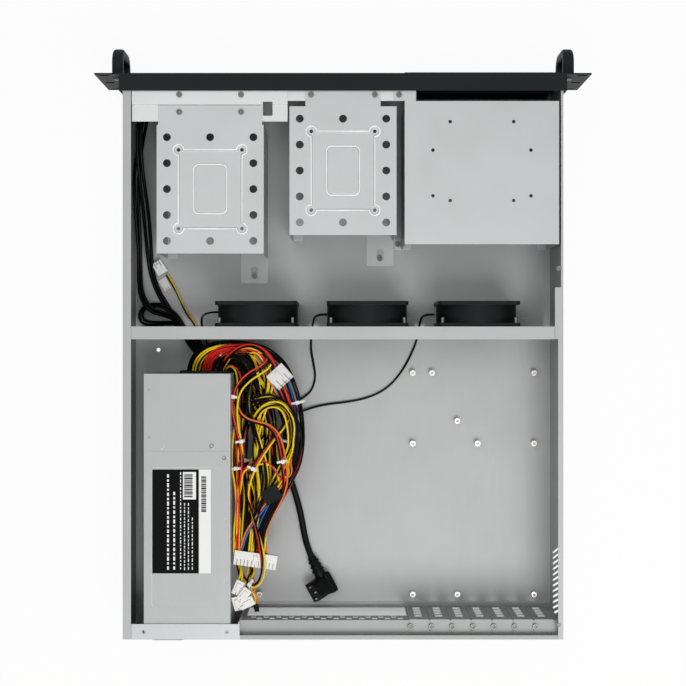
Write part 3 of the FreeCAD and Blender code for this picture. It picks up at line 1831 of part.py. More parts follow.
# Routes of the cords, points chosen by hand
ROUTES = {
    "ac_cord": [
        (53, 127, 17), (47, 146, 11.5), (42.5, 166, 7.5), (39.5, 184, 7.5), (35.88, 197.415, 9.5),
        (31.39, 208.535, 9.5),
    ],
    "front_cable_1": [
        (200, -264.4, 60), (200, -242, 60), (202, -212, 62), (200.5, -180, 52), (198.5, -150, 36),
        (198.5, -124, 20), (199, -104, 9.5), (197.5, -85, 5), (191, -67, 4.4), (181.5, -52, 4.4),
        (172, -38.5, 4.4), (163, -25, 4.4), (155, -11, 6), (144, -3, 8.5),
    ],
    "front_cable_2": [
        (199, -264.4, 24), (199, -244, 24), (204.5, -214, 32), (208, -180, 38), (208, -146, 33),
        (207, -114, 24), (207, -86, 18), (205, -63, 21), (195, -47, 24), (182, -43, 20),
        (171, -38, 14.5), (163, -25, 13), (155, -10, 15), (144, 1, 18),
    ],
    "fan_lead_1": [
        (125, -44, 36), (133, -44, 36), (140.5, -42, 27), (144, -37.5, 16), (144.5, -29, 7),
        (143, -20, 5), (138, -10, 8),
    ],
    "fan_lead_2": [
        (16, -42, 20), (24, -42, 20), (29.5, -39, 11), (31, -30, 4.5), (32.5, -17, 3), (33, -5, 3),
        (30.5, 8, 3), (28, 22, 3), (31, 34, 3), (37, 41, 3.5), (44, 45, 5),
    ],
    "fan_lead_3": [
        (-93, -42, 20), (-85, -42, 20), (-80, -39, 11), (-78.5, -30, 4.5), (-76.5, -17, 3), (-71, -3, 3),
        (-63, 13, 3), (-52, 28, 3), (-38, 38.5, 3), (-20, 45, 3), (-1, 48, 3), (17, 50, 3), (32, 53.5, 4),
        (44, 58, 6),
    ],
    "sensor_lead": [
        (180.75, -83.2, 5), (174.4, -73.04, 5), (167, -57, 4.2), (159.5, -43, 3.6), (152, -32, 3.6),
        (148.5, -19, 4), (141, -8, 7),
    ],
}
CORD_DIAMETERS = {
    "ac_cord": S.ac_cord_diameter,
    "front_cable_1": S.front_cable_diameter,
    "front_cable_2": S.front_cable_diameter,
    "fan_lead_1": S.fan_lead_diameter,
    "fan_lead_2": S.fan_lead_diameter,
    "fan_lead_3": S.fan_lead_diameter,
    "sensor_lead": S.sensor_lead_diameter,
}


def rounded_path(points):
    """Straight runs joined by tangent arcs, each as large as its two runs allow, and the arcs' radii."""
    points = [Vector(*point) for point in points]
    edges = []
    radii = []
    start = points[0]
    for before, corner, after in zip(points, points[1:], points[2:]):
        way_in = (before - corner).normalize()
        way_out = (after - corner).normalize()
        turn = math.pi - way_in.getAngle(way_out)
        trim = 0.45 * min((corner - before).Length, (after - corner).Length)
        radius = trim / math.tan(turn / 2)
        first = corner + way_in * trim
        last = corner + way_out * trim
        centre_way = (way_in + way_out).normalize()
        middle = corner + centre_way * (radius / math.cos(turn / 2) - radius)
        edges.append(Part.LineSegment(start, first).toShape())
        edges.append(Part.Arc(first, middle, last).toShape())
        radii.append(radius)
        start = last
    edges.append(Part.LineSegment(start, points[-1]).toShape())
    return Part.Wire(edges), radii


def cord(label):
    """A round cord along its route."""
    diameter = CORD_DIAMETERS[label].value
    points = ROUTES[label]
    path, radii = rounded_path(points)
    way = (Vector(*points[1]) - Vector(*points[0])).normalize()
    ring = Part.Wire([Part.Circle(Vector(*points[0]), way, diameter / 2).toShape()])
    solid = path.makePipeShell([ring], True, False)
    expected = math.pi * diameter**2 / 4 * path.Length
    print(label, "length", round(path.Length), "radii", [round(radius) for radius in radii])
    if abs(solid.Volume - expected) > 0.01 * expected:
        raise RuntimeError(f"{label} has the wrong volume")
    made = doc.addObject("Part::Feature", label)
    made.Label = label
    made.Shape = solid
    pieces.append(made)


# Sides of the heap of wires, and the shares of its length at which its outline turns
heap_side = S.supply_inner - S.fit
heap_front = supply_front - S.grommet_stand
heap_rear = ledge_inner - S.ledge_lip - S.harness_gap
HEAP_SHARES = (0.1, 0.27, 0.5, 0.7)


def harness():
    """The outer shape of the power supply's wires where they lie heaped beside it."""
    hank = Piece("harness")
    left = S.exit_across + S.harness_corner
    wall_side = wall_front + S.wall_flange + S.fit * 4
    reach = heap_side - S.harness_reach
    tail = heap_side - S.harness_tail
    first, second, third, fourth = (heap_front + (heap_rear - heap_front) * share for share in HEAP_SHARES)
    hank.pad(
        "XY",
        (floor_top, floor_top + S.harness_height),
        poly(
            (heap_side, heap_front),
            (left, heap_front),
            (left, wall_side + S.harness_corner),
            (left - S.harness_corner, wall_side),
            (heap_side - S.harness_turn, wall_side),
            (heap_side - S.harness_shoulder, heap_front - S.harness_corner),
            (reach + S.harness_corner / 2, first),
            (reach, second),
            (reach + S.harness_corner, third),
            (tail, fourth),
            (tail, heap_rear),
            (heap_side, heap_rear),
        ),
    )
    high = (floor_top + S.harness_height).value
    hank.fillet(
        S.harness_round,
        lambda edge: edge.BoundBox.ZMin > high - 1e-6 and edge.BoundBox.XMax < heap_side.value - 1e-6,
    )


SLEEVE_RIBS = 4


def ac_plug():
    """An angled mains plug with a ribbed sleeve on its cord."""
    plug = Piece("ac_plug")
    half = S.plug_width / 2
    deep = S.plug_depth / 2
    tall = S.plug_tall / 2
    plug.pad("XY", (-tall, tall), round_rect((-half, half), (-deep, deep), S.plug_round))
    ribs = []
    pitch = S.sleeve_length / SLEEVE_RIBS
    for step in range(SLEEVE_RIBS):
        near = -deep - S.sleeve_length + pitch * step
        wide = S.sleeve_start / 2 + (S.sleeve_end - S.sleeve_start) / 2 * (step / SLEEVE_RIBS)
        ribs.append((wide, near))
        ribs.append((wide, near + S.sleeve_rib))
        ribs.append((wide - S.sleeve_groove, near + S.sleeve_rib))
        ribs.append((wide - S.sleeve_groove, near + pitch))
    outline = [(0, -deep - S.sleeve_length), *ribs, (0, -deep)]
    plug.revolve("XY", "Y", poly(*outline))
    half_tall = S.contact_tall / 2
    contacts = ((-S.contact_spread, -half_tall), (0, half_tall), (S.contact_spread, -half_tall))
    slots = [block(place, S.contact_width, S.contact_tall) for place in contacts]
    plug.pocket("YZ", (half - S.contact_deep, half), *slots)
    plug.body.Placement = Placement(Vector(), Rotation(Vector(0, 0, 1), S.plug_turn.value))
    plug.place(S.plug_across, ledge_inner - S.ledge_lip - S.plug_inset, floor_top + tall)


def connector(name, centre, turn, length, deep, tall):
    """A wire connector's housing with its latch."""
    housing = doc.addObject("Part::Box", f"{name}_housing")
    latch = doc.addObject("Part::Box", f"{name}_latch")
    spin = Rotation(Vector(0, 0, 1), turn)
    sizes = (
        (housing, (length, deep, tall), (-length / 2, -deep / 2, as_size(0))),
        (latch, (S.latch_length, S.latch_deep, S.latch_rise), (-S.latch_length / 2, -deep / 2, tall)),
    )
    for box, extent, corner in sizes:
        for prop, size in zip(("Length", "Width", "Height"), extent):
            bind(box, prop, size)
        shift = spin.multVec(Vector(*(size.value for size in corner)))
        box.Placement = Placement(Vector(*(size.value for size in centre)) + shift, spin)
    made = doc.addObject("Part::Fuse", name)
    made.Base = housing
    made.Tool = latch
    return made


def connectors():
    """The connectors on the heap of wires and the one on the floor, each turned as it lies."""
    on_heap = floor_top + S.harness_height
    power = (S.plug_housing_deep, S.plug_housing_tall)
    drive = (S.molex_deep, S.plug_housing_tall)
    serial = (S.sata_deep, S.sata_tall)
    small = (S.sensor_deep, S.sensor_tall)
    atx = (heap_side - S.atx_across, heap_rear - S.atx_inset, on_heap)
    eps_1 = (heap_side - S.eps_across, heap_rear - S.eps_inset, on_heap)
    eps_2 = (eps_1[0] - S.eps_shift, eps_1[1] + S.eps_pitch, on_heap)
    molex = (heap_side - S.molex_across, heap_front + S.molex_inset, on_heap)
    sata = (heap_side - S.sata_across, heap_rear - S.sata_inset, on_heap)
    sensor = (inner_half - S.sensor_across, fan_front - S.sensor_inset, floor_top)
    group("atx_connector", [connector("atx", atx, -8, S.atx_length, *power)])
    group(
        "eps_connectors",
        [
            connector("eps_1", eps_1, -4, S.eps_length, *power),
            connector("eps_2", eps_2, 8, S.eps_length, *power),
        ],
    )
    group(
        "drive_connectors",
        [
            connector("molex", molex, 40, S.molex_length, *drive),
            connector("sata", sata, 30, S.sata_length, *serial),
            connector("sensor", sensor, 32, S.sensor_length, *small),
        ],
    )


base_pan()
front_panel()
handle("handle_left", 1)
handle("handle_right", -1)
front_frame()
cage_bracket()
drive_cage(
    "hdd_cage_left",
    S.left_cage_across,
    S.left_cage_depth,
    S.left_tab_width,
    bracket_fold + S.steel,
    tab_screws,
)
drive_cage(
    "hdd_cage_middle",
    S.middle_cage_across,
    S.middle_cage_depth,
    S.middle_tab_width,
    tab_front,
    middle_screws,
)
bay_cage()
bay_cover("bay_cover_lower", 0)
bay_cover("bay_cover_upper", 1)
fan_wall()
for number, across in enumerate(fan_places(), start=1):
    fan_frame(f"fan_frame_{number}", across)
    fan_rotor(f"fan_rotor_{number}", across)
psu_cage()
psu_grommet()
psu_top_front()
psu_top_rear()
psu_backplane()
for step in (0, 1):
    psu_module(step)
rear_panel()
supply_bay()
for step in range(7):
    slot_cover(step)
control_board()
button("power_button", S.power_rise, S.power_diameter)
button("reset_button", S.reset_rise, S.reset_diameter)
usb_ports()
chassis_screws()
board_standoffs()
for label in ROUTES:
    cord(label)
harness()
ac_plug()
connectors()

doc.recompute()
os.makedirs("parts", exist_ok=True)
for thing in doc.Objects:
    if "Invalid" in thing.State or "Error" in thing.State:
        raise RuntimeError(f"{thing.Label} failed: {thing.State}")
for body in pieces:
    if body.Shape.isNull() or not body.Shape.isValid():
        raise RuntimeError(f"{body.Label} has no valid shape")
for body in pieces:
    body.Shape.exportStep(f"parts/{body.Label}.step")
    print(body.Label, len(body.Shape.Solids), round(body.Shape.Volume), body.Shape.BoundBox)
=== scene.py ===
import json
import math
import random

import bpy
from mathutils import Matrix, Vector


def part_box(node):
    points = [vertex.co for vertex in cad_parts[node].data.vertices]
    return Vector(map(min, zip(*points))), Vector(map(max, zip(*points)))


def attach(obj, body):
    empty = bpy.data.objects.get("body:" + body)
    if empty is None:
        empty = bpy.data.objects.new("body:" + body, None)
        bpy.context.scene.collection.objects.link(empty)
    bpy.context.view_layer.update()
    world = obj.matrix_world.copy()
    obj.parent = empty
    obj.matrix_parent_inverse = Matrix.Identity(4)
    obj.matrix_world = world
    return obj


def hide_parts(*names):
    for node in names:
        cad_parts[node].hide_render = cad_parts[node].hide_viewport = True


bl_info = {
    "name": "Rackmount Server Case",
    "version": (1, 0, 0),
    "blender": (4, 5, 0),
    "location": "View3D > Sidebar > Server Case",
    "description": "Finishes, wiring and studio light for an open rackmount server case",
    "category": "Object",
}

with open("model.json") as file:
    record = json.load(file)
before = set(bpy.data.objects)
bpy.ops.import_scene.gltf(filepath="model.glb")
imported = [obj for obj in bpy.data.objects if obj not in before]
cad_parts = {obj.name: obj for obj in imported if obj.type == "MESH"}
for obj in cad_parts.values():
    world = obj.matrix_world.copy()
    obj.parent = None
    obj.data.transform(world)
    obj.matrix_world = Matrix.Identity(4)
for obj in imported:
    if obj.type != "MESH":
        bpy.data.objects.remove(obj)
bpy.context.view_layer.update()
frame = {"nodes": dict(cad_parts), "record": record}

# Routes of the single cords in millimetres: those of the solids, and a loop that has no solid
CORD_ROUTES = {
    "ac_cord": [
        (53, 127, 17), (47, 146, 11.5), (42.5, 166, 7.5), (39.5, 184, 7.5), (35.88, 197.415, 9.5),
        (31.39, 208.535, 9.5),
    ],
    "front_cable_1": [
        (200, -264.4, 60), (200, -242, 60), (202, -212, 62), (200.5, -180, 52), (198.5, -150, 36),
        (198.5, -124, 20), (199, -104, 9.5), (197.5, -85, 5), (191, -67, 4.4), (181.5, -52, 4.4),
        (172, -38.5, 4.4), (163, -25, 4.4), (155, -11, 6), (144, -3, 8.5),
    ],
    "front_cable_2": [
        (199, -264.4, 24), (199, -244, 24), (204.5, -214, 32), (208, -180, 38), (208, -146, 33),
        (207, -114, 24), (207, -86, 18), (205, -63, 21), (195, -47, 24), (182, -43, 20), (171, -38, 14.5),
        (163, -25, 13), (155, -10, 15), (144, 1, 18),
    ],
    "fan_lead_1": [
        (125, -44, 36), (133, -44, 36), (140.5, -42, 27), (144, -37.5, 16), (144.5, -29, 7), (143, -20, 5),
        (138, -10, 8),
    ],
    "fan_lead_2": [
        (16, -42, 20), (24, -42, 20), (29.5, -39, 11), (31, -30, 4.5), (32.5, -17, 3), (33, -5, 3),
        (30.5, 8, 3), (28, 22, 3), (31, 34, 3), (37, 41, 3.5), (44, 45, 5),
    ],
    "fan_lead_3": [
        (-93, -42, 20), (-85, -42, 20), (-80, -39, 11), (-78.5, -30, 4.5), (-76.5, -17, 3), (-71, -3, 3),
        (-63, 13, 3), (-52, 28, 3), (-38, 38.5, 3), (-20, 45, 3), (-1, 48, 3), (17, 50, 3), (32, 53.5, 4),
        (44, 58, 6),
    ],
    "sensor_lead": [
        (180.75, -83.2, 5), (174.4, -73.04, 5), (167, -57, 4.2), (159.5, -43, 3.6), (152, -32, 3.6),
        (148.5, -19, 4), (141, -8, 7),
    ],
    "front_loop": [
        (158, -18, 9.5), (164, -30, 9), (171, -41, 9.5), (182, -50, 10), (195, -53, 8), (205, -49, 7),
        (208.5, -41, 6.5), (205, -34.5, 6), (196, -33, 6.5), (186, -33.5, 9), (176, -33.5, 13),
        (169, -31.5, 18), (162, -24, 19), (156, -13, 20),
    ],
}

# Routes of the power supply's wire bundles in millimetres: wire colours, then the listed points
BUNDLES = {
    "yellow_main": ("yellow black yellow yellow black yellow black black", [
        (144, 26, 40), (143, 13, 41), (139, 2, 44), (129, -5, 47), (115, -7, 50), (100, -6, 52),
        (89, 1, 53), (84, 17, 52), (81, 36, 50), (81, 56, 46), (83, 78, 42), (82, 100, 42), (83, 124, 46),
        (87, 145, 56), (92, 166, 64), (94, 195, 67.5),
    ]),
    "black_outer": ("black black black black black black blue black black green", [
        (152, 26, 34), (151, 13, 36), (147, 2, 40), (139, -6, 46), (125, -10, 50), (108, -10, 52),
        (92, -8, 52), (76, -4, 52), (61, 7, 52), (51, 25, 51), (45, 46, 50), (43, 66, 50), (43, 88, 52),
        (47, 108, 56), (57, 126, 60), (69, 144, 62), (78, 160, 64), (84, 176, 66), (83, 195, 67.5),
    ]),
    "red_main": ("red red red black red red red red black", [
        (137, 26, 45), (135, 12, 47), (131, 1, 51), (121, -6, 56), (106, -8, 60), (91, -8, 62),
        (79, -3, 62), (71, 10, 61), (64, 27, 59), (57, 44, 55), (52, 60, 50), (52, 79, 46), (56, 100, 44),
        (61, 120, 44), (68, 138, 50), (77, 156, 58), (84, 173, 65), (85, 195, 67.5),
    ]),
    "yellow_thick": ("yellow black yellow yellow black yellow black", [
        (131, 26, 28), (130, 12, 30), (126, 3, 33), (116, -1, 38), (103, 1, 42), (92, 11, 46), (83, 26, 50),
        (74, 38, 54), (64, 44, 58), (55, 52, 58), (50, 66, 56), (50, 84, 54), (53, 101, 50), (56, 116, 48),
        (58, 130, 50), (65, 146, 54), (74, 160, 60), (79, 174, 65), (80, 195, 67.5),
    ]),
    "drive_lead": ("red black black yellow", [
        (124, 26, 46), (122, 13, 48), (117, 4, 55), (109, -3, 62), (98, -9, 66), (87, -10, 68),
        (77, -5, 68.5), (70, 4, 68), (66, 13, 68),
    ]),
    "trio": ("red black black", [
        (136, 26, 23), (134, 12, 26), (129, 3, 32), (117, -3, 42), (99, -7, 54), (84, -9, 61), (74, -5, 64),
        (73, 5, 66), (82, 12, 66.5), (92, 16, 66.5), (103, 26, 66), (109, 40, 66), (109, 56, 65),
        (105, 72, 63), (101, 88, 61), (99, 107, 60), (102, 130, 60), (102, 160, 64), (103, 195, 67.5),
    ]),
    "yellow_single": ("yellow", [
        (125, 26, 30), (124, 13, 33), (120, 4, 39), (110, -1, 50), (93, -4, 60), (78, -5, 65), (70, 1, 67),
        (71, 10, 68), (80, 16, 68), (92, 23, 68), (102, 34, 67), (105, 49, 66.5), (104, 67, 65),
        (100, 83, 62.5), (98, 102, 61), (99, 123, 61), (103, 142, 62), (104, 160, 64), (105, 175, 66),
        (106, 195, 67.5),
    ]),
    "orange_line": ("orange red black", [
        (106, 45, 60), (103, 55, 63), (96, 62, 65), (85, 66, 66), (73, 69, 66.5), (65, 78, 66.5),
        (61, 92, 66), (58, 109, 65), (56, 124, 64.5), (60, 140, 65), (69, 156, 66), (76, 171, 67),
        (78, 184, 67.5), (76, 195, 67.5),
    ]),
    "looped_end": ("yellow red black", [
        (55, 63, 56), (59, 71, 60), (67, 80, 63), (78, 94, 65), (88, 109, 66), (93, 123, 66.5),
        (94, 136, 67), (91, 149, 68), (85, 168, 71), (80, 187, 76), (78, 205, 76), (81, 220, 72),
        (88, 227, 68), (95, 222, 65), (101, 213, 60), (104, 201, 55),
    ]),
    "side_pair": ("yellow black red black yellow", [
        (106, 44, 48), (106, 56, 53), (106, 70, 57), (106, 89, 58), (106, 113, 59), (105, 132, 60),
        (104, 157, 62), (105, 172, 65), (105, 195, 67.5),
    ]),
    "inner_left": ("black yellow black red black black yellow", [
        (104, 29, 20), (98, 41, 26), (94, 55, 32), (97, 70, 38), (99, 90, 42), (98, 114, 44), (95, 138, 50),
        (96, 163, 60), (97, 195, 67.5),
    ]),
    "inner_right": ("black yellow black black red black yellow black", [
        (98, 17, 14), (86, 31, 22), (78, 47, 30), (72, 62, 36), (71, 80, 40), (70, 99, 44), (67, 118, 48),
        (71, 137, 52), (81, 154, 58), (88, 171, 64), (90, 195, 67.5),
    ]),
    "black_arch": ("black black black yellow black black black", [
        (104, 59, 52), (98, 50, 58), (88, 44, 62), (76, 41, 64), (65, 42, 65), (55, 48, 65), (48, 59, 64),
        (45, 76, 62), (46, 94, 58), (52, 112, 54), (58, 128, 52), (69, 143, 52),
    ]),
    "yellow_hoop": ("yellow yellow black yellow yellow", [
        (90, 68, 56), (84, 56, 61), (76, 49, 65), (66, 47, 67), (57, 51, 67.5), (52, 61, 67), (50, 76, 66),
        (51, 90, 63), (57, 103, 58), (65, 118, 54), (73, 134, 53),
    ]),
    "low_hoop": ("red yellow", [
        (104, 129, 56), (101, 117, 60), (93, 108, 62.5), (82, 104, 63.5), (71, 108, 63.5), (63, 117, 62),
        (59, 130, 60), (61, 143, 58), (70, 156, 58),
    ]),
    "blue_pair": ("blue orange", [
        (88, -4, 60), (81, 6, 63.5), (75, 18, 64), (68, 31, 63), (60, 46, 58), (54, 62, 52), (51, 82, 50),
        (53, 102, 52), (57, 116, 56), (64, 131, 61), (76, 146, 65), (88, 162, 67), (97, 176, 67.5),
        (101, 195, 67.5),
    ]),
    "board_lead_1": ("yellow black yellow black", [
        (104, 164, 40), (103, 182, 44), (102, 197, 51), (101.5, 208, 59), (101.2, 218, 67),
        (102.5, 225, 68),
    ]),
    "board_lead_2": ("yellow black black yellow", [
        (94, 167, 36), (92, 186, 44), (90, 203, 51), (91, 214, 59), (93, 223, 66), (94.2, 229, 67.5),
    ]),
    "header_lead": ("orange green yellow", [
        (93, 210, 46), (91, 221, 54), (88, 231, 59), (86.5, 239, 59), (86, 247, 55.5),
    ]),
    "serial_lead": ("orange black yellow red", [
        (53, 84, 50), (51, 98, 54), (53, 113, 58), (58, 124, 63), (66, 132, 67),
    ]),
    "yellow_arc": ("yellow black yellow yellow black yellow", [
        (148, 26, 45), (147, 12, 47), (142, 1, 51), (131, -7, 54), (114, -10, 57), (98, -9, 59),
        (85, -2, 60), (77, 9, 60), (73, 24, 60), (75, 40, 60), (80, 56, 60), (84, 74, 60), (86, 92, 60),
        (86, 110, 60), (84, 130, 60), (84, 150, 61), (88, 170, 64), (91, 195, 67.5),
    ]),
    "yellow_inner": ("black yellow black yellow black", [
        (128, 26, 47), (126, 13, 50), (121, 4, 55), (112, -1, 59), (100, 1, 62), (92, 9, 63), (90, 22, 63),
        (93, 38, 63), (92, 54, 63), (87, 70, 63), (82, 88, 63), (78, 104, 63), (76, 120, 63), (78, 136, 63),
        (84, 152, 64), (88, 168, 66), (88, 195, 67.5),
    ]),
    "edge_wires": ("red green", [
        (70, 18, 44), (60, 32, 42), (50, 44, 40), (44, 56, 38), (41, 70, 38), (40, 82, 38), (42, 94, 40),
        (46, 108, 42), (51, 122, 44), (58, 138, 50), (66, 150, 56),
    ]),
    "gate_band": ("black black black black black black black black", [
        (152, -26, 13), (150, -16, 16), (146, -6, 21), (138, 4, 27), (126, 8, 31), (112, 6, 34),
        (98, 10, 35), (88, 22, 35),
    ]),
    "low_fill": ("black yellow black black black yellow black black", [
        (133, 26, 34), (131, 13, 33), (125, 5, 31), (113, 1, 28), (101, 5, 25), (92, 18, 23), (88, 36, 22),
        (84, 56, 22), (80, 78, 22), (76, 98, 22), (74, 118, 24), (78, 138, 26), (85, 158, 30),
        (92, 178, 36), (96, 198, 42),
    ]),
    "wide_fill": ("black red black black yellow black black black", [
        (140, 26, 28), (138, 12, 27), (131, 2, 26), (118, -5, 26), (102, -6, 27), (87, 0, 28), (75, 13, 28),
        (66, 30, 28), (59, 48, 28), (54, 66, 27), (52, 86, 26), (54, 106, 26), (60, 124, 28), (68, 142, 32),
        (77, 160, 38), (85, 180, 44), (90, 200, 48),
    ]),
    "side_fill": ("black black red black yellow black", [
        (122, 26, 38), (120, 14, 37), (114, 8, 36), (106, 13, 36), (103, 26, 37), (103, 44, 38),
        (104, 64, 38), (104, 84, 38), (103, 104, 38), (102, 124, 40), (101, 144, 42), (100, 164, 46),
        (100, 184, 50),
    ]),
    "heart_fill": ("black black yellow black black black yellow", [
        (90, 40, 50), (82, 52, 52), (76, 66, 54), (77, 82, 55), (83, 96, 55), (88, 110, 54), (88, 126, 53),
        (84, 142, 53), (84, 160, 56), (88, 176, 60),
    ]),
    "flank_fill": ("black red black yellow black black", [
        (62, 52, 44), (56, 66, 46), (54, 82, 48), (57, 98, 50), (62, 112, 52), (64, 126, 53), (68, 140, 55),
        (75, 154, 58), (82, 168, 62), (83, 195, 67.5),
    ]),
    "floor_black_1": ("black black black yellow black black black black", [
        (149, 26, 20), (148, 13, 17), (144, 3, 13), (132, -4, 10), (111, -4, 8), (87, 6, 7), (69, 27, 7),
        (58, 54, 7), (56, 84, 7), (63, 115, 8), (75, 146, 9), (87, 174, 12), (93, 200, 18),
    ]),
    "floor_black_2": ("black black black yellow black black black", [
        (127, 26, 19), (126, 14, 15), (120, 6, 11), (110, 9, 8), (99, 23, 7), (91, 45, 7), (87, 74, 7),
        (89, 105, 8), (96, 137, 10), (100, 170, 14), (101, 199, 20),
    ]),
}
# Diameter and sway of the supply's wires in millimetres
WIRE_GAUGE = 1.9
WIRE_SWAY = 1.6

# The mains cord's diameter, and the thin leads: wire colours, wire diameter and sway in millimetres
MAINS_DIAMETER = 6.4
THIN_LEADS = {
    "front_cable_1": ("black black", 3.6, 1.0),
    "front_cable_2": ("black black", 3.4, 1.0),
    "fan_lead_1": ("black black black", 1.05, 0.5),
    "fan_lead_2": ("black black black", 1.05, 0.5),
    "fan_lead_3": ("black black black", 1.05, 0.5),
    "sensor_lead": ("yellow orange black", 1.4, 0.6),
    "front_loop": ("black black", 2.8, 0.6),
}
# Number that the thin leads' random draws start from
LEAD_SEED = 100


def linear(code):
    """An sRGB hex colour as a linear RGBA tuple."""
    channels = []
    for place in (1, 3, 5):
        share = int(code[place:place + 2], 16) / 255
        channels.append(share / 12.92 if share <= 0.04045 else ((share + 0.055) / 1.055) ** 2.4)
    return (*channels, 1.0)


def metres(point):
    """A point in millimetres as a vector in metres."""
    return Vector(point) / 1000


def add(tree, kind, inputs=None, **settings):
    """Adds a node with its settings, and sets or links its inputs."""
    node = tree.nodes.new(kind)
    for name, value in settings.items():
        setattr(node, name, value)
    for socket, value in (inputs or {}).items():
        if isinstance(value, bpy.types.NodeSocket):
            tree.links.new(value, node.inputs[socket])
        else:
            node.inputs[socket].default_value = value
    return node


def fresh_tree(owner):
    """The emptied node tree of a material or a world."""
    owner.use_nodes = True
    owner.node_tree.nodes.clear()
    return owner.node_tree


# Radius in millimetres over which an edge takes the edge tone, and how much of that tone shows there: partly
# wear, partly painted light along the edge
EDGE_MM = 0.6
EDGE_WEAR_AND_LIGHT = 0.85
# Likeness of the plain and the rounded normal where the edge tone of wear and painted light starts, and where
# it is full
WEAR_AND_LIGHT_START = 0.998
WEAR_AND_LIGHT_FULL = 0.93


def surface(name, dark, pale, patch_mm, grain_mm, stretch, bump, bump_mm, rough, edge, sockets):
    """A material with soft patches of colour, a fine grain, and an edge tone if one is given: partly wear,
    partly painted light along edges.
    """
    made = bpy.data.materials.new(name)
    tree = fresh_tree(made)
    place = add(tree, "ShaderNodeTexCoord").outputs["Object"]
    drawn = add(tree, "ShaderNodeMapping", {"Vector": place, "Scale": stretch}).outputs["Vector"]
    patches = add(tree, "ShaderNodeTexNoise", {"Vector": place, "Scale": 1000 / patch_mm, "Detail": 3.0})
    grain = add(tree, "ShaderNodeTexNoise", {"Vector": drawn, "Scale": 1000 / grain_mm, "Detail": 2.0})
    tone = add(tree, "ShaderNodeMix", {0: patches.outputs["Fac"], 6: dark, 7: pale}, data_type="RGBA")
    gloss = add(
        tree,
        "ShaderNodeMapRange",
        {"Value": grain.outputs["Fac"], "To Min": rough[0], "To Max": rough[1]},
    )
    relief = add(
        tree,
        "ShaderNodeBump",
        {"Height": grain.outputs["Fac"], "Strength": bump, "Distance": bump_mm / 1000},
    )
    # The edge tone paints light and shade along edges: a highlight on sheet and plastic, shade on screws,
    # over some real wear
    if edge:
        rounded = add(tree, "ShaderNodeBevel", {"Radius": EDGE_MM / 1000}, samples=4).outputs["Normal"]
        plain = add(tree, "ShaderNodeNewGeometry").outputs["Normal"]
        likeness = add(tree, "ShaderNodeVectorMath", {0: rounded, 1: plain}, operation="DOT_PRODUCT")
        wear_and_light = add(
            tree,
            "ShaderNodeMapRange",
            {
                "Value": likeness.outputs["Value"],
                "From Min": WEAR_AND_LIGHT_START,
                "From Max": WEAR_AND_LIGHT_FULL,
                "To Max": EDGE_WEAR_AND_LIGHT,
            },
        )
        tone = add(
            tree,
            "ShaderNodeMix",
            {0: wear_and_light.outputs["Result"], 6: tone.outputs[2], 7: edge},
            data_type="RGBA",
        )
        tree.links.new(rounded, relief.inputs["Normal"])
    shader = add(
        tree,
        "ShaderNodeBsdfPrincipled",
        {
            "Base Color": tone.outputs[2],
            "Roughness": gloss.outputs["Result"],
            "Normal": relief.outputs["Normal"],
            **sockets,
        },
    )
    add(tree, "ShaderNodeOutputMaterial", {"Surface": shader.outputs["BSDF"]})
    return made


# Grain along X, Y and Z: even, drawn out along the depth of the case, or across it
EVEN = (1, 1, 1)
DRAWN = (1, 0.02, 1)
DRAWN_ACROSS = (0.03, 1, 1)
# Shares of light that a surface reflects: dull black paint and plastic, flat film, and shiny wire jackets
DULL = {"Specular IOR Level": 0.1}
FLAT = {"Specular IOR Level": 0.05}
SHINY = {"Specular IOR Level": 0.4}
# Tone of metal edges: a painted highlight, partly the wear of cut and rubbed edges
EDGE_HIGHLIGHT = "#f6f7f7"

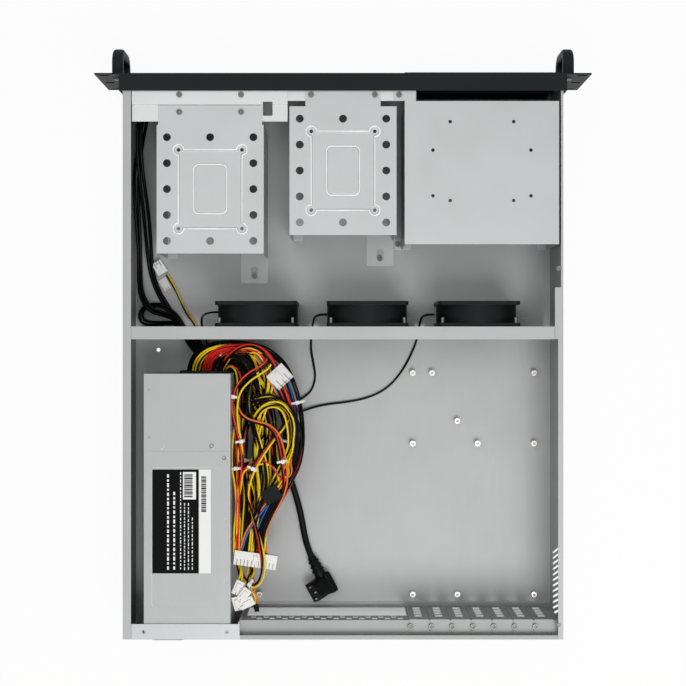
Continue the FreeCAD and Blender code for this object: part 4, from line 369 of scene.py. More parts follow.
# Finishes: two tones, patch and grain in mm, grain's way, relief, its depth in mm, roughness, edge, sockets
FINISHES = {
    # Zinc-coated steel sheet: cold rolled, so a satin grey with faint drawn lines, and a painted highlight
    # along its cut edges
    "zinc_coated_steel": (
        "#b2b3b3", "#bdbebf", 55, 0.5, DRAWN, 0.08, 0.01, (0.44, 0.54), EDGE_HIGHLIGHT, {"Metallic": 0.4},
    ),
    # The same sheet in a lighter tone, a painted highlight, on the front frame and its bracket
    "bright_zinc_steel": (
        "#c6c7c7", "#d0d1d1", 55, 0.5, DRAWN, 0.08, 0.01, (0.44, 0.54), EDGE_HIGHLIGHT, {"Metallic": 0.4},
    ),
    # Near-white zinc tone that paints a highlight on the rims of the drive cages' pressings
    "rubbed_zinc": (
        "#f0f1f1", "#f7f8f8", 20, 0.4, EVEN, 0.05, 0.01, (0.35, 0.45), EDGE_HIGHLIGHT, {"Metallic": 0.3},
    ),
    # The sheet of the pan, the fan wall and the supply's cage, duller than the drive cages' sheet and darker
    # in tone: painted shade
    "dull_pan_steel": (
        "#a3a4a4", "#aeafaf", 70, 0.6, DRAWN, 0.08, 0.01, (0.52, 0.62), EDGE_HIGHLIGHT, {"Metallic": 0.45},
    ),
    # The same sheet on the rear wall and its slot covers, darker still: painted shade
    "dark_pan_steel": (
        "#929393", "#9d9e9e", 70, 0.6, DRAWN, 0.08, 0.01, (0.52, 0.62), EDGE_HIGHLIGHT, {"Metallic": 0.45},
    ),
    # Bare steel of the supply modules: a little whiter, with its lines drawn across
    "module_steel": (
        "#aeb0b0", "#babcbc", 40, 0.6, DRAWN_ACROSS, 0.08, 0.01, (0.45, 0.55), EDGE_HIGHLIGHT, {"Metallic": 0.7},
    ),
    # Textured black powder paint: fine orange peel that breaks up the light, paler grey along edges
    "black_powder_paint": ("#1b1c1e", "#222325", 60, 0.9, EVEN, 0.35, 0.05, (0.42, 0.6), "#3a3b3d", DULL),
    # Moulded black ABS: even, with a fine spark-eroded texture and a painted highlight along its moulded
    # edges
    "black_abs": ("#131415", "#1a1b1c", 30, 0.5, EVEN, 0.2, 0.02, (0.38, 0.5), "#2b2c2e", DULL),
    # Moulded grey ABS of the latch levers: the same texture, and a painted highlight along its edges
    "grey_abs": ("#6f777b", "#7b8387", 30, 0.5, EVEN, 0.2, 0.02, (0.4, 0.5), "#8f979b", {}),
    # Solder mask over a glass-fibre board: glossy green with a faint weave
    "green_solder_mask": ("#0f4a26", "#14582f", 12, 0.4, EVEN, 0.1, 0.01, (0.2, 0.3), None, {}),
    # Nickel plate on shells and standoffs: brighter and glossier than sheet
    "nickel_plate": ("#c2bfb8", "#cfccc6", 8, 0.3, EVEN, 0.05, 0.01, (0.22, 0.32), EDGE_HIGHLIGHT, {"Metallic": 1.0}),
    # Zinc-plated screws: a dull grey, with painted shade along the edges of their heads and recesses
    "zinc_screw": ("#6e6e6c", "#7e7d7a", 5, 0.3, EVEN, 0.1, 0.01, (0.34, 0.46), "#121211", {"Metallic": 0.6}),
    # Soft black PVC of cords and plug: dull, with a fine texture
    "black_pvc": ("#08090a", "#0e0f10", 20, 0.8, EVEN, 0.15, 0.02, (0.36, 0.48), None, DULL),
    # Natural nylon of connectors and ties: milky white with a soft shine, and a painted highlight along its
    # edges
    "natural_nylon": ("#ecebe5", "#f5f4f0", 6, 0.5, EVEN, 0.1, 0.01, (0.35, 0.5), "#fbfaf7", {}),
    # Tinned brass of the plug's contacts: bright and smooth
    "tinned_brass": ("#c9c8c2", "#d8d7d2", 3, 0.2, EVEN, 0.05, 0.01, (0.25, 0.35), None, {"Metallic": 1.0}),
    # Printed film on the supply: satin black and satin white
    "black_film": ("#070708", "#0c0c0d", 25, 0.4, EVEN, 0.05, 0.01, (0.4, 0.5), None, FLAT),
    "white_film": ("#f3f3f2", "#fafaf9", 25, 0.4, EVEN, 0.05, 0.01, (0.35, 0.45), None, {}),
}
# Extruded PVC wire jackets: clean saturated colours with a soft shine, a little deeper in patches
JACKET_COLOURS = ("yellow", "red", "black", "orange", "blue", "green")
JACKET_FACTS = (14, 0.6, EVEN, 0.08, 0.01, (0.24, 0.34), None)
JACKET_DEEP = 0.93


def finishes():
    """All finishes by name, each made once."""
    if "zinc_coated_steel" in bpy.data.materials:
        return bpy.data.materials
    for name, (dark, pale, *facts, edge, sockets) in FINISHES.items():
        surface(name, linear(dark), linear(pale), *facts, linear(edge) if edge else None, sockets)
    for name in JACKET_COLOURS:
        colour = getattr(bpy.context.scene.case_colours, name)
        deep = (*(channel * JACKET_DEEP for channel in colour[:3]), 1.0)
        shine = DULL if name == "black" else SHINY
        surface(f"{name}_pvc_jacket", deep, tuple(colour), *JACKET_FACTS, shine)
    return bpy.data.materials


# Slot covers in the rear wall
COVER_COUNT = 7
# Finish of each slot of the record, and of the solids that have one of their own
NODE_FINISHES = {
    "steel_sheet": "zinc_coated_steel",
    "module_metal": "module_steel",
    "black_paint": "black_powder_paint",
    "black_plastic": "black_abs",
    "latch_plastic": "grey_abs",
    "circuit_board": "green_solder_mask",
    "socket_metal": "nickel_plate",
    "screw_metal": "zinc_screw",
    "black_rubber": "black_pvc",
    "lead_jacket": "black_pvc",
    "wire_jacket": "yellow_pvc_jacket",
    "white_nylon": "natural_nylon",
}
OWN_FINISHES = {
    # Pan, fan wall and supply cage: the sheet darkened by painted shade
    "base_pan": "dull_pan_steel",
    "board_standoffs": "nickel_plate",
    "fan_wall": "dull_pan_steel",
    # Front frame and bracket: the sheet lightened by a painted highlight
    "front_frame": "bright_zinc_steel",
    "hdd_cage_bracket": "bright_zinc_steel",
    "psu_cage": "dull_pan_steel",
    "psu_top_front": "dull_pan_steel",
    "psu_top_rear": "dull_pan_steel",
    # Rear wall and slot covers: the sheet darkened further by painted shade
    "rear_panel": "dark_pan_steel",
    **{f"slot_cover_{number}": "dark_pan_steel" for number in range(1, COVER_COUNT + 1)},
}


def deselect():
    """Leaves no object selected."""
    bpy.ops.object.select_all(action="DESELECT")


def select_only(*pieces):
    """Selects these pieces alone, with the first as the active one."""
    deselect()
    for piece in pieces:
        piece.select_set(True)
    bpy.context.view_layer.objects.active = pieces[0]


def turned(degrees, axis):
    """A turn round an axis through the origin, as a matrix."""
    return Matrix.Rotation(math.radians(degrees), 4, axis)


def settle(piece, name, finish, body="chassis"):
    """Names a finished piece, gives it its finish and lets it ride on its body."""
    piece.name = name
    piece.data.name = name
    if finish:
        piece.data.materials.clear()
        piece.data.materials.append(finishes()[finish])
    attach(piece, body)
    return piece


# Steps of a smooth curve from one control point to the next
CURVE_STEPS = 8


def new_curve(name, kind, points):
    """A curve with one line of control points, given in millimetres."""
    line = bpy.data.curves.new(name, "CURVE")
    line.dimensions = "3D"
    line.resolution_u = CURVE_STEPS
    spline = line.splines.new(kind)
    spline.points.add(len(points) - 1)
    for control, point in zip(spline.points, points):
        control.co = (*metres(point), 1.0)
    curve = bpy.data.objects.new(name, line)
    bpy.context.scene.collection.objects.link(curve)
    return curve


def route_curve(name, points):
    """An open smooth curve with the route's points as its control points."""
    curve = new_curve(name, "NURBS", points)
    spline = curve.data.splines[0]
    spline.order_u = 3
    spline.use_endpoint_u = True
    return curve


def route_path(points):
    """Points along the smooth curve of a route."""
    curve = route_curve("route", points)
    bpy.context.view_layer.update()
    mesh = bpy.data.meshes.new_from_object(curve)
    path = [vertex.co.copy() for vertex in mesh.vertices]
    bpy.data.meshes.remove(mesh)
    bpy.data.objects.remove(curve)
    return path


def path_frames(path):
    """Two directions square to the path at each point, without twist, the first level at the start."""
    ways = []
    for number in range(len(path)):
        before = path[max(number - 1, 0)]
        after = path[min(number + 1, len(path) - 1)]
        ways.append((after - before).normalized())
    side = ways[0].cross(Vector((0, 0, 1))).normalized()
    rows = []
    last = ways[0]
    for way in ways:
        side = last.rotation_difference(way) @ side
        side = (side - way * side.dot(way)).normalized()
        rows.append((side, way.cross(side)))
        last = way
    return rows


# How wires lie in a bundle: spacing side by side and in two rows, and the rows' height, in wire widths
SINGLE_SPACING = 1.02
DOUBLE_SPACING = 0.62
ROW_HEIGHT = 0.9
# How they wander: cycles along the route, share and cycles of the lift, and share that widens the bundle
SWAY_CYCLES = (0.8, 2.2)
LIFT_SHARE = 0.35
LIFT_CYCLES = 0.7
SWAY_SPREAD = 1.6
# Sides of a wire, and rounding steps of a single cord
WIRE_SIDES = 8
CORD_ROUNDING = 4


def bundle(name, points, colours, gauge, sway, seed):
    """A flat bundle of round wires that wander along the route, one finish for each wire."""
    draw = random.Random(seed)
    path = route_path(points)
    rows = path_frames(path)
    radius = gauge / 2000
    count = len(colours)
    doubled = count > 2
    spacing = (DOUBLE_SPACING if doubled else SINGLE_SPACING) * gauge / 1000
    height = ROW_HEIGHT * gauge / 1000 if doubled else 0
    vertices = []
    faces = []
    owners = []
    for wire, colour in enumerate(colours):
        across = (wire - (count - 1) / 2) * spacing
        rise = (wire % 2 - 0.5) * height
        phase = draw.uniform(0, 2 * math.pi)
        cycles = draw.uniform(*SWAY_CYCLES)
        first = len(vertices)
        for step, (point, (side, up)) in enumerate(zip(path, rows)):
            share = step / (len(path) - 1)
            free = math.sin(math.pi * share) * sway / 1000
            drift = free * math.sin(2 * math.pi * cycles * share + phase)
            lift = free * LIFT_SHARE * math.sin(2 * math.pi * LIFT_CYCLES * cycles * share + 2 * phase)
            centre = point + side * (across + drift) + up * (rise + lift)
            for corner in range(WIRE_SIDES):
                angle = 2 * math.pi * corner / WIRE_SIDES
                vertices.append(centre + (side * math.cos(angle) + up * math.sin(angle)) * radius)
        for step in range(len(path) - 1):
            for corner in range(WIRE_SIDES):
                after = (corner + 1) % WIRE_SIDES
                low = first + step * WIRE_SIDES
                faces.append((low + corner, low + after, low + WIRE_SIDES + after, low + WIRE_SIDES + corner))
                owners.append(wire)
        last = first + (len(path) - 1) * WIRE_SIDES
        faces.append(tuple(first + corner for corner in reversed(range(WIRE_SIDES))))
        faces.append(tuple(last + corner for corner in range(WIRE_SIDES)))
        owners.extend((wire, wire))
    mesh = bpy.data.meshes.new(name)
    mesh.from_pydata([tuple(vertex) for vertex in vertices], [], faces)
    names = sorted(set(colours))
    for colour in names:
        mesh.materials.append(finishes()[f"{colour}_pvc_jacket"])
    mesh.polygons.foreach_set("material_index", [names.index(colours[wire]) for wire in owners])
    mesh.polygons.foreach_set("use_smooth", [True] * len(faces))
    mesh.update()
    piece = bpy.data.objects.new(name, mesh)
    bpy.context.scene.collection.objects.link(piece)
    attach(piece, "chassis")
    diameter = (count - 1) * spacing + (gauge + SWAY_SPREAD * sway) / 1000
    return piece, path, diameter


def tube(name, points, diameter, finish):
    """A single round cord along its route."""
    curve = route_curve(name, points)
    curve.data.bevel_depth = diameter / 2000
    curve.data.bevel_resolution = CORD_ROUNDING
    curve.data.use_fill_caps = True
    curve.data.materials.append(finishes()[finish])
    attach(curve, "chassis")
    return curve


def add_block(size, centre):
    """A box of its size and place, as the only selected object."""
    deselect()
    bpy.ops.mesh.primitive_cube_add(size=1, location=centre)
    block = bpy.context.object
    block.scale = size
    bpy.ops.object.transform_apply(location=True, rotation=True, scale=True)
    return block


def clear_selection(piece):
    """Deselects all vertices, edges and faces of a piece, and makes it the active one."""
    bpy.context.view_layer.objects.active = piece
    for part in (piece.data.vertices, piece.data.edges, piece.data.polygons):
        part.foreach_set("select", [False] * len(part))


def pick_faces(piece, test):
    """Goes into edit mode with the faces that pass the test selected."""
    clear_selection(piece)
    for face in piece.data.polygons:
        face.select = test(face)
    bpy.ops.object.mode_set(mode="EDIT")
    bpy.ops.mesh.select_mode(type="FACE")


def soften(piece, width, segments=2):
    """Rounds all edges of a piece by a bevel."""
    bevel = piece.modifiers.new("soft_edges", "BEVEL")
    bevel.width = width
    bevel.segments = segments
    bevel.limit_method = "ANGLE"
    bpy.context.view_layer.objects.active = piece
    bpy.ops.object.modifier_apply(modifier=bevel.name)


def cut(piece, cutter, crossed=False):
    """Cuts one piece out of another. The cutter goes, and its own parts may cross each other."""
    hole = piece.modifiers.new("cut", "BOOLEAN")
    hole.object = cutter
    hole.solver = "EXACT"
    hole.use_self = crossed
    bpy.context.view_layer.objects.active = piece
    bpy.ops.object.modifier_apply(modifier=hole.name)
    bpy.data.objects.remove(cutter)


def copy_at(piece, shift):
    """A copy of a piece with its own mesh, moved."""
    twin = piece.copy()
    twin.data = piece.data.copy()
    twin.data.transform(Matrix.Translation(shift))
    bpy.context.scene.collection.objects.link(twin)
    return twin


def join(pieces):
    """Joins pieces into the first of them."""
    select_only(*pieces)
    bpy.ops.object.join()
    return pieces[0]


# Wire connectors: columns and rows of cells, size and place in millimetres, turn and tilt in degrees, finish
HOUSINGS = {
    "atx_housing": (12, 2, (42.4, 14.2, 9.8), (86, 200, 63), -8, 0, "natural_nylon"),
    "eps_housing_1": (2, 2, (9.0, 14.2, 9.8), (103.2, 228, 63.5), -24, 6, "natural_nylon"),
    "eps_housing_2": (2, 2, (9.0, 14.2, 9.8), (97.5, 234, 67), -38, 4, "natural_nylon"),
    "eps_housing_3": (2, 2, (9.0, 14.2, 9.8), (104, 242, 60.5), 14, -6, "natural_nylon"),
    "eps_housing_4": (2, 2, (9.0, 14.2, 9.8), (95.5, 243, 61.5), -64, 8, "natural_nylon"),
    "drive_housing": (4, 1, (20.4, 16.4, 9.6), (61, 21, 64.5), 43, 16, "natural_nylon"),
    "serial_housing": (2, 1, (18.0, 14.5, 6.5), (70, 137, 64), 30, 8, "black_abs"),
    "header_housing": (2, 1, (5.2, 9.0, 2.8), (86, 249, 54), 8, -20, "black_abs"),
    "sensor_housing": (4, 1, (11.0, 14.0, 6.5), (188.5, -91, 1.5), 212, 8, "natural_nylon"),
    "spare_housing": (3, 1, (8.6, 13.0, 1.9), (183, -73.5, 1.3), 30, 0, "natural_nylon"),
}
HOUSING_NODES = {
    "atx_housing": ["atx_connector"],
    "eps_housing_1": ["eps_connectors"],
    "drive_housing": ["drive_connectors"],
}
# Shares of a connector's length for its cells and of a cell's for its hole, then sizes in metres
MATE_SHARE = 0.42
CELL_SHARE = 0.7
CELL_GAP = 0.0005
CELL_WALL = 0.0006
CELL_ROUND = 0.0002
SHELL_ROUND = 0.0006
LATCH_ARM = (0.0042, 0.0086, 0.0016)
LATCH_SLOPE = 0.4
# A face looks along an axis where its normal has this share of it
FACING = 0.9


def housing(name, columns, lines, size, centre, turn, tilt, finish):
    """A wire connector: a shell on the wire side, open cells in rows on the other, and a latch on top."""
    wide, deep, tall = (value / 1000 for value in size)
    pitch = wide / columns
    rise = tall / lines
    mate = deep * MATE_SHARE
    cell = add_block((pitch - CELL_GAP, mate, rise - CELL_GAP), (0, (deep - mate) / 2, 0))
    pick_faces(cell, lambda face: face.normal.y > FACING)
    bpy.ops.mesh.inset(thickness=CELL_WALL)
    bpy.ops.mesh.extrude_region_move(TRANSFORM_OT_translate={"value": (0, -mate * CELL_SHARE, 0)})
    bpy.ops.object.mode_set(mode="OBJECT")
    soften(cell, CELL_ROUND, 1)
    cells = []
    for column in range(columns):
        for line in range(lines):
            shift = Vector((pitch * (column + 0.5) - wide / 2, 0, rise * (line + 0.5)))
            cells.append(copy_at(cell, shift))
    bpy.data.objects.remove(cell)
    shell = add_block((wide, deep - mate, tall), (0, -mate / 2, tall / 2))
    pick_faces(shell, lambda face: face.normal.y < -FACING)
    bpy.ops.mesh.inset(thickness=CELL_WALL)
    bpy.ops.mesh.extrude_region_move(TRANSFORM_OT_translate={"value": (0, CELL_WALL, 0)})
    bpy.ops.object.mode_set(mode="OBJECT")
    soften(shell, SHELL_ROUND)
    arm, arm_long, arm_tall = LATCH_ARM
    slope = arm_tall * LATCH_SLOPE
    latch = add_block((arm, min(arm_long, deep - arm_tall * 2), arm_tall), (0, 0, tall + slope))
    pick_faces(latch, lambda face: face.normal.y > FACING)
    bpy.ops.transform.translate(value=(0, 0, -slope))
    bpy.ops.object.mode_set(mode="OBJECT")
    soften(latch, CELL_ROUND)
    piece = join([*cells, shell, latch])
    piece.data.transform(Matrix.Translation(metres(centre)) @ turned(turn, "Z") @ turned(tilt, "X"))
    return settle(piece, name, finish)


# The power cord's angled plug: sizes and places in millimetres, turns in degrees, in its own axes
PLUG_BODY = (24, 20, 15)
PLUG_GRIP = (8, 22.5, 16)
PLUG_CHAMFER = 4.4
NOSE_ROUND = 0.7
GRIP_ROUND = 2.2
GRIP_OUT = 1.0
PLUG_CENTRE = (22, 236)
PLUG_REST = 1.1
PLUG_TURN = 28
PLUG_LEAN = 41
# Its slots, how far a cutter stands out of the nose, and the contact leaf in each slot
PLUG_SLOTS = ((-6.6, -1.8), (0, 2.4), (6.6, -1.8))
SLOT_SIZE = (5, 2.8, 4.6)
SLOT_PROUD = 0.2
LEAF_THICK = 1.2
LEAF_SHORT = 0.6
LEAF_LOW = 0.8
LEAF_ASIDE = 0.8
LEAF_ROUND = 0.15
# The sleeve behind it and the rings round the sleeve, by their share of its length
SLEEVE_START = (32.5, 205.8, 9.5)
SLEEVE_END = (22.2, 226.4, 9.5)
SLEEVE_RADII = (4.1, 6.2)
SLEEVE_ROUND = 0.6
SLEEVE_RINGS = (0.22, 0.44, 0.66)
RING_RADIUS = 1.3
RING_SIDES = 8
# Sides of small round pieces, and how near two corners are that stand level
ROUND_SIDES = 24
SAME = 1e-6


def chamfer_along(piece, width):
    """Cuts the two upper long edges of a block that lies along X."""
    clear_selection(piece)
    for edge in piece.data.edges:
        ends = [piece.data.vertices[number].co for number in edge.vertices]
        edge.select = abs(ends[0].y - ends[1].y) < SAME and min(ends[0].z, ends[1].z) > 0
    bpy.ops.object.mode_set(mode="EDIT")
    bpy.ops.mesh.select_mode(type="EDGE")
    bpy.ops.mesh.bevel(offset=width, segments=1)
    bpy.ops.object.mode_set(mode="OBJECT")


def plug_body():
    """The plug's chamfered nose with three slots, its contacts, and the grip behind it."""
    nose = add_block(metres(PLUG_BODY), (0, 0, 0))
    chamfer_along(nose, PLUG_CHAMFER / 1000)
    soften(nose, NOSE_ROUND / 1000)
    front = PLUG_BODY[0] / 2
    deep, wide, tall = SLOT_SIZE
    middle = front - deep / 2
    contacts = []
    for across, rise in PLUG_SLOTS:
        cut(nose, add_block(metres((deep, wide, tall)), metres((middle + SLOT_PROUD, across, rise))))
        leaf = add_block(
            metres((deep - LEAF_SHORT, LEAF_THICK, tall - LEAF_LOW)),
            metres((middle - LEAF_SHORT / 2, across + LEAF_ASIDE, rise)),
        )
        soften(leaf, LEAF_ROUND / 1000)
        leaf.data.materials.append(finishes()["tinned_brass"])
        contacts.append(leaf)
    grip = add_block(metres(PLUG_GRIP), metres((PLUG_GRIP[0] / 2 - front - GRIP_OUT, 0, 0)))
    soften(grip, GRIP_ROUND / 1000, 3)
    for piece in (nose, grip):
        piece.data.materials.append(finishes()["black_pvc"])
    body = join([nose, grip, *contacts])
    body.data.transform(turned(PLUG_TURN, "Z") @ turned(-PLUG_LEAN, "Y"))
    place = metres((*PLUG_CENTRE, PLUG_REST))
    place.z -= min(vertex.co.z for vertex in body.data.vertices)
    body.data.transform(Matrix.Translation(place))
    return body


def plug_sleeve():
    """The tapered, ribbed sleeve between the cord and the plug."""
    start = metres(SLEEVE_START)
    end = metres(SLEEVE_END)
    way = end - start
    small, large = (value / 1000 for value in SLEEVE_RADII)
    turn = way.to_track_quat("Z", "Y").to_matrix().to_4x4()
    deselect()
    bpy.ops.mesh.primitive_cone_add(vertices=ROUND_SIDES, radius1=small, radius2=large, depth=way.length)
    sleeve = bpy.context.object
    soften(sleeve, SLEEVE_ROUND / 1000)
    sleeve.data.transform(Matrix.Translation((start + end) / 2) @ turn)
    rings = []
    for share in SLEEVE_RINGS:
        deselect()
        bpy.ops.mesh.primitive_torus_add(
            major_radius=small + (large - small) * share,
            minor_radius=RING_RADIUS / 1000,
            major_segments=ROUND_SIDES,
            minor_segments=RING_SIDES,
        )
        ring = bpy.context.object
        ring.data.transform(Matrix.Translation(start + way * share) @ turn)
        rings.append(ring)
    made = join([sleeve, *rings])
    made.data.materials.append(finishes()["black_pvc"])
    for face in made.data.polygons:
        face.use_smooth = True
    return made


# Small rivets and screws on the supply's top and the wall flanges: place, radius and rise in millimetres
FIXINGS = (
    ((127.7, 87.1, 84.6), 2.3, 1.2),
    ((115.6, 98.8, 84.6), 2.0, 0.5),
    ((-209.5, -85.7, 86.3), 2.6, 0.9),
    ((-209.3, 260.7, 86.3), 2.0, 0.7),
)
# Of a head's radius: its border and the dimple's slope. Of its rise: the dimple's depth and the round edge
HEAD_BORDER = 0.45
DIMPLE_SLOPE = 0.1
DIMPLE_DEPTH = 0.4
HEAD_ROUND = 0.25


def fixing(place, radius, rise):
    """A domed head with a shallow dimple."""
    deselect()
    bpy.ops.mesh.primitive_cylinder_add(
        vertices=ROUND_SIDES,
        radius=radius / 1000,
        depth=rise / 1000,
        location=metres(place),
    )
    head = bpy.context.object
    bpy.ops.object.transform_apply(location=True, rotation=True, scale=True)
    pick_faces(head, lambda face: face.normal.z > FACING)
    bpy.ops.mesh.inset(thickness=radius * HEAD_BORDER / 1000)
    bpy.ops.mesh.inset(thickness=radius * DIMPLE_SLOPE / 1000)
    bpy.ops.transform.translate(value=(0, 0, -rise * DIMPLE_DEPTH / 1000))
    bpy.ops.object.mode_set(mode="OBJECT")
    soften(head, rise * HEAD_ROUND / 1000)
    return head


# Cable ties: the bundle, and how far along it, from 0 to 1
TIES = (
    ("yellow_main", 0.22), ("trio", 0.62), ("orange_line", 0.52), ("looped_end", 0.26), ("side_pair", 0.5),
    ("black_outer", 0.56), ("yellow_single", 0.7), ("inner_left", 0.6), ("yellow_thick", 0.66),
    ("looped_end", 0.86), ("red_main", 0.68),
)
TIE_SIDES = 20
TIE_SQUASH = 0.6
# A tie's lock and its tail's length, width and place in band widths, and round edges in band thicknesses
TIE_LOCK = (1.6, 1.5, 1.5)
TIE_TAIL = (2.2, 0.9, 1.4)
TIE_ROUND = 0.25


def cable_tie(path, share, diameter, sizes):
    """A band round a bundle with its lock and its cut tail."""
    step = round(share * (len(path) - 2))
    way = (path[step + 1] - path[step]).normalized()
    high = diameter / 2 * TIE_SQUASH + sizes.tie_sheet
    deselect()
    bpy.ops.mesh.primitive_cylinder_add(
        vertices=TIE_SIDES, radius=diameter / 2, depth=sizes.tie_width, end_fill_type="NOTHING"
    )
    band = bpy.context.object
    band.scale.x = TIE_SQUASH
    bpy.ops.object.transform_apply(location=True, rotation=True, scale=True)
    wall = band.modifiers.new("wall", "SOLIDIFY")
    wall.thickness = sizes.tie_sheet
    wall.offset = 1.0
    bpy.ops.object.modifier_apply(modifier=wall.name)
    lock = add_block([sizes.tie_width * part for part in TIE_LOCK], (high, 0, 0))
    soften(lock, sizes.tie_sheet * TIE_ROUND)
    long, wide, aside = (sizes.tie_width * part for part in TIE_TAIL)
    tail = add_block((sizes.tie_sheet, long, wide), (high, aside, 0))
    soften(tail, sizes.tie_sheet * TIE_ROUND)
    tie = join([band, lock, tail])
    up = Vector((0, 0, 1))
    out = (up - way * up.dot(way)).normalized()
    turn = Matrix((out, way.cross(out), way)).transposed().to_4x4()
    tie.data.transform(Matrix.Translation(path[step]) @ turn)
    return tie


# Printed film on the supply: plain fields, X and Y ranges in millimetres
FILMS = (
    ("label_field", "black_film", (140.3, 185.4), (110, 211)),
    ("label_strip", "white_film", (128.5, 140.0), (110, 211)),
)
RECESS_FLOOR = 84.4
# Plain printed bars on the film: finish, X and Y ranges in millimetres, number of bars
BARS = (
    ("white_film", (142.9, 155.6), (112.4, 139.1), 1),
    ("black_film", (146.2, 154.4), (114.4, 137.2), 13),
    ("black_film", (132.9, 137.8), (116.5, 151.3), 19),
    ("white_film", (169.2, 171.0), (114.0, 208.0), 21),
    ("white_film", (163.2, 165.0), (131.0, 208.0), 17),
    ("white_film", (157.4, 158.3), (112.0, 208.0), 26),
    ("white_film", (153.6, 154.5), (142.0, 208.0), 19),
    ("white_film", (149.8, 150.7), (142.0, 208.0), 17),
    ("white_film", (146.0, 146.9), (156.0, 208.0), 13),
)
# Widths of the bars in shares of their pitch, their thickness in metres, and round edges in thicknesses
BAR_SHARES = (0.72, 0.5, 0.86, 0.42)
PRINT_THICK = 0.00008
FILM_ROUND = 1 / 3


def print_bars(finish, across, along, count, low, thick):
    """A row of flat bars of uneven width."""
    made = []
    pitch = (along[1] - along[0]) / count
    for number in range(count):
        share = BAR_SHARES[number % len(BAR_SHARES)] if count > 1 else 1.0
        size = metres((across[1] - across[0], pitch * share, 0))
        size.z = thick
        centre = metres((sum(across) / 2, along[0] + pitch * (number + 0.5), 0))
        centre.z = low + thick / 2
        bar = add_block(size, centre)
        soften(bar, thick * FILM_ROUND, 1)
        bar.data.materials.append(finishes()[finish])
        made.append(bar)
    return made


# Rims of the drive cages' pressings: middles, then half sizes and corner radii in mm, and arcs in degrees
PRESSINGS = ((129.1, -162.5), (0.0, -180.5))
LOBED_FRAME = ((30.86, 38.3), 5.2, 135)
RAISED_PANEL = ((11.0, 18.8), 5.0, 45)
RIM_LEVEL = 85.3
RIM_RADIUS = 0.8
RIM_ROUNDING = 2
CORNER_STEPS = 10


def rim(middle, half, radius, spread):
    """A round rim along a pressing: straight runs, and an arc of so many degrees each way at a corner."""
    points = []
    for quarter in range(4):
        base = math.radians(45 + 90 * quarter)
        across = middle[0] + math.copysign(half[0], math.cos(base))
        along = middle[1] + math.copysign(half[1], math.sin(base))
        for step in range(CORNER_STEPS + 1):
            angle = base + math.radians(spread) * (2 * step / CORNER_STEPS - 1)
            points.append((across + radius * math.cos(angle), along + radius * math.sin(angle), RIM_LEVEL))
    curve = new_curve("rim", "POLY", points)
    curve.data.bevel_depth = RIM_RADIUS / 1000
    curve.data.bevel_resolution = RIM_ROUNDING
    curve.data.splines[0].use_cyclic_u = True
    select_only(curve)
    bpy.ops.object.convert(target="MESH")
    return bpy.context.object


# Wide vents of the rear wall in millimetres: width, lowest and highest point, first place, pitch, count
WALL_VENTS = (
    (4.8, 54.6, 63.0, -50.05, 12.6, 12),
    (4.8, 61.4, 71.2, -56.35, 12.6, 12),
)
# Wide vents of a slot cover in millimetres: width, height, lowest point, pitch up the cover, count
COVER_VENTS = (7.2, 11.4, 12.1, 13.0, 4)
SHEET_REACH = 8.0

# Cross recess of a screw in millimetres: length, width and depth of a bar, and turn from screw to screw
CROSS_BAR = (3.2, 0.95, 0.6)
CROSS_TURN = 37
# In metres: how far a round head's sides may differ, and the gap over which loose corners are merged
ROUND_SLACK = 0.0001
MERGE_GAP = 0.00001


def merged_copy(node, name):
    """A copy of a solid with its loose triangles merged, as the only selected object."""
    piece = bpy.data.objects.new(name, frame["nodes"][node].data.copy())
    bpy.context.scene.collection.objects.link(piece)
    select_only(piece)
    bpy.ops.mesh.customdata_custom_splitnormals_clear()
    bpy.ops.object.mode_set(mode="EDIT")
    bpy.ops.mesh.select_all(action="SELECT")
    bpy.ops.mesh.remove_doubles(threshold=MERGE_GAP)
    bpy.ops.object.mode_set(mode="OBJECT")
    bpy.ops.object.shade_flat()
    return piece


def cut_copy(node, name, blocks, finish):
    """A copy of a solid with blocks cut out of it, which stands for the solid."""
    cutter = join(blocks)
    piece = merged_copy(node, name)
    cut(piece, cutter, crossed=True)
    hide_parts(node)
    return settle(piece, name, finish)


def open_vents(node, name, vents, depth):
    """A copy of a sheet with its vents cut wider."""
    blocks = [
        add_block(metres((width, SHEET_REACH, high - low)), metres((across, depth, (low + high) / 2)))
        for across, width, low, high in vents
    ]
    return cut_copy(node, name, blocks, OWN_FINISHES[node])


def upright_heads(node):
    """The middle of the top of each upright screw in a node."""
    merged_copy(node, "loose_screws")
    bpy.ops.object.mode_set(mode="EDIT")
    bpy.ops.mesh.separate(type="LOOSE")
    bpy.ops.object.mode_set(mode="OBJECT")
    heads = []
    for part in list(bpy.context.selected_objects):
        low = Vector(part.bound_box[0])
        high = Vector(part.bound_box[6])
        size = high - low
        if abs(size.x - size.y) < ROUND_SLACK < abs(size.y - size.z):
            heads.append(((low.x + high.x) / 2, (low.y + high.y) / 2, high.z))
        bpy.data.objects.remove(part)
    return sorted(heads)


def cross_recesses(heads):
    """Two crossed bars at the top of each screw head."""
    long, wide, deep = (value / 1000 for value in CROSS_BAR)
    bars = []
    for number, head in enumerate(heads):
        for quarter in (0, 90):
            bar = add_block((long, wide, deep * 2), (0, 0, 0))
            bar.data.transform(Matrix.Translation(head) @ turned(number * CROSS_TURN + quarter, "Z"))
            bars.append(bar)
    return bars


class CaseSizes(bpy.types.PropertyGroup):
    """Sizes of the pieces that are added to the case."""

    tie_width: bpy.props.FloatProperty(
        name="Tie width", description="Width of a cable tie's band", default=0.0025, unit="LENGTH"
    )
    tie_sheet: bpy.props.FloatProperty(
        name="Tie thickness", description="Thickness of a cable tie's band", default=0.0011, unit="LENGTH"
    )
    label_thickness: bpy.props.FloatProperty(
        name="Film thickness",
        description="Thickness of the film on the supply",
        default=0.0003,
        unit="LENGTH",
    )
    camera_height: bpy.props.FloatProperty(
        name="Camera height", description="Height of the camera over the floor", default=1.5, unit="LENGTH"
    )
    camera_lens: bpy.props.FloatProperty(
        name="Lens", description="Focal length of the camera in millimetres", default=76.4
    )


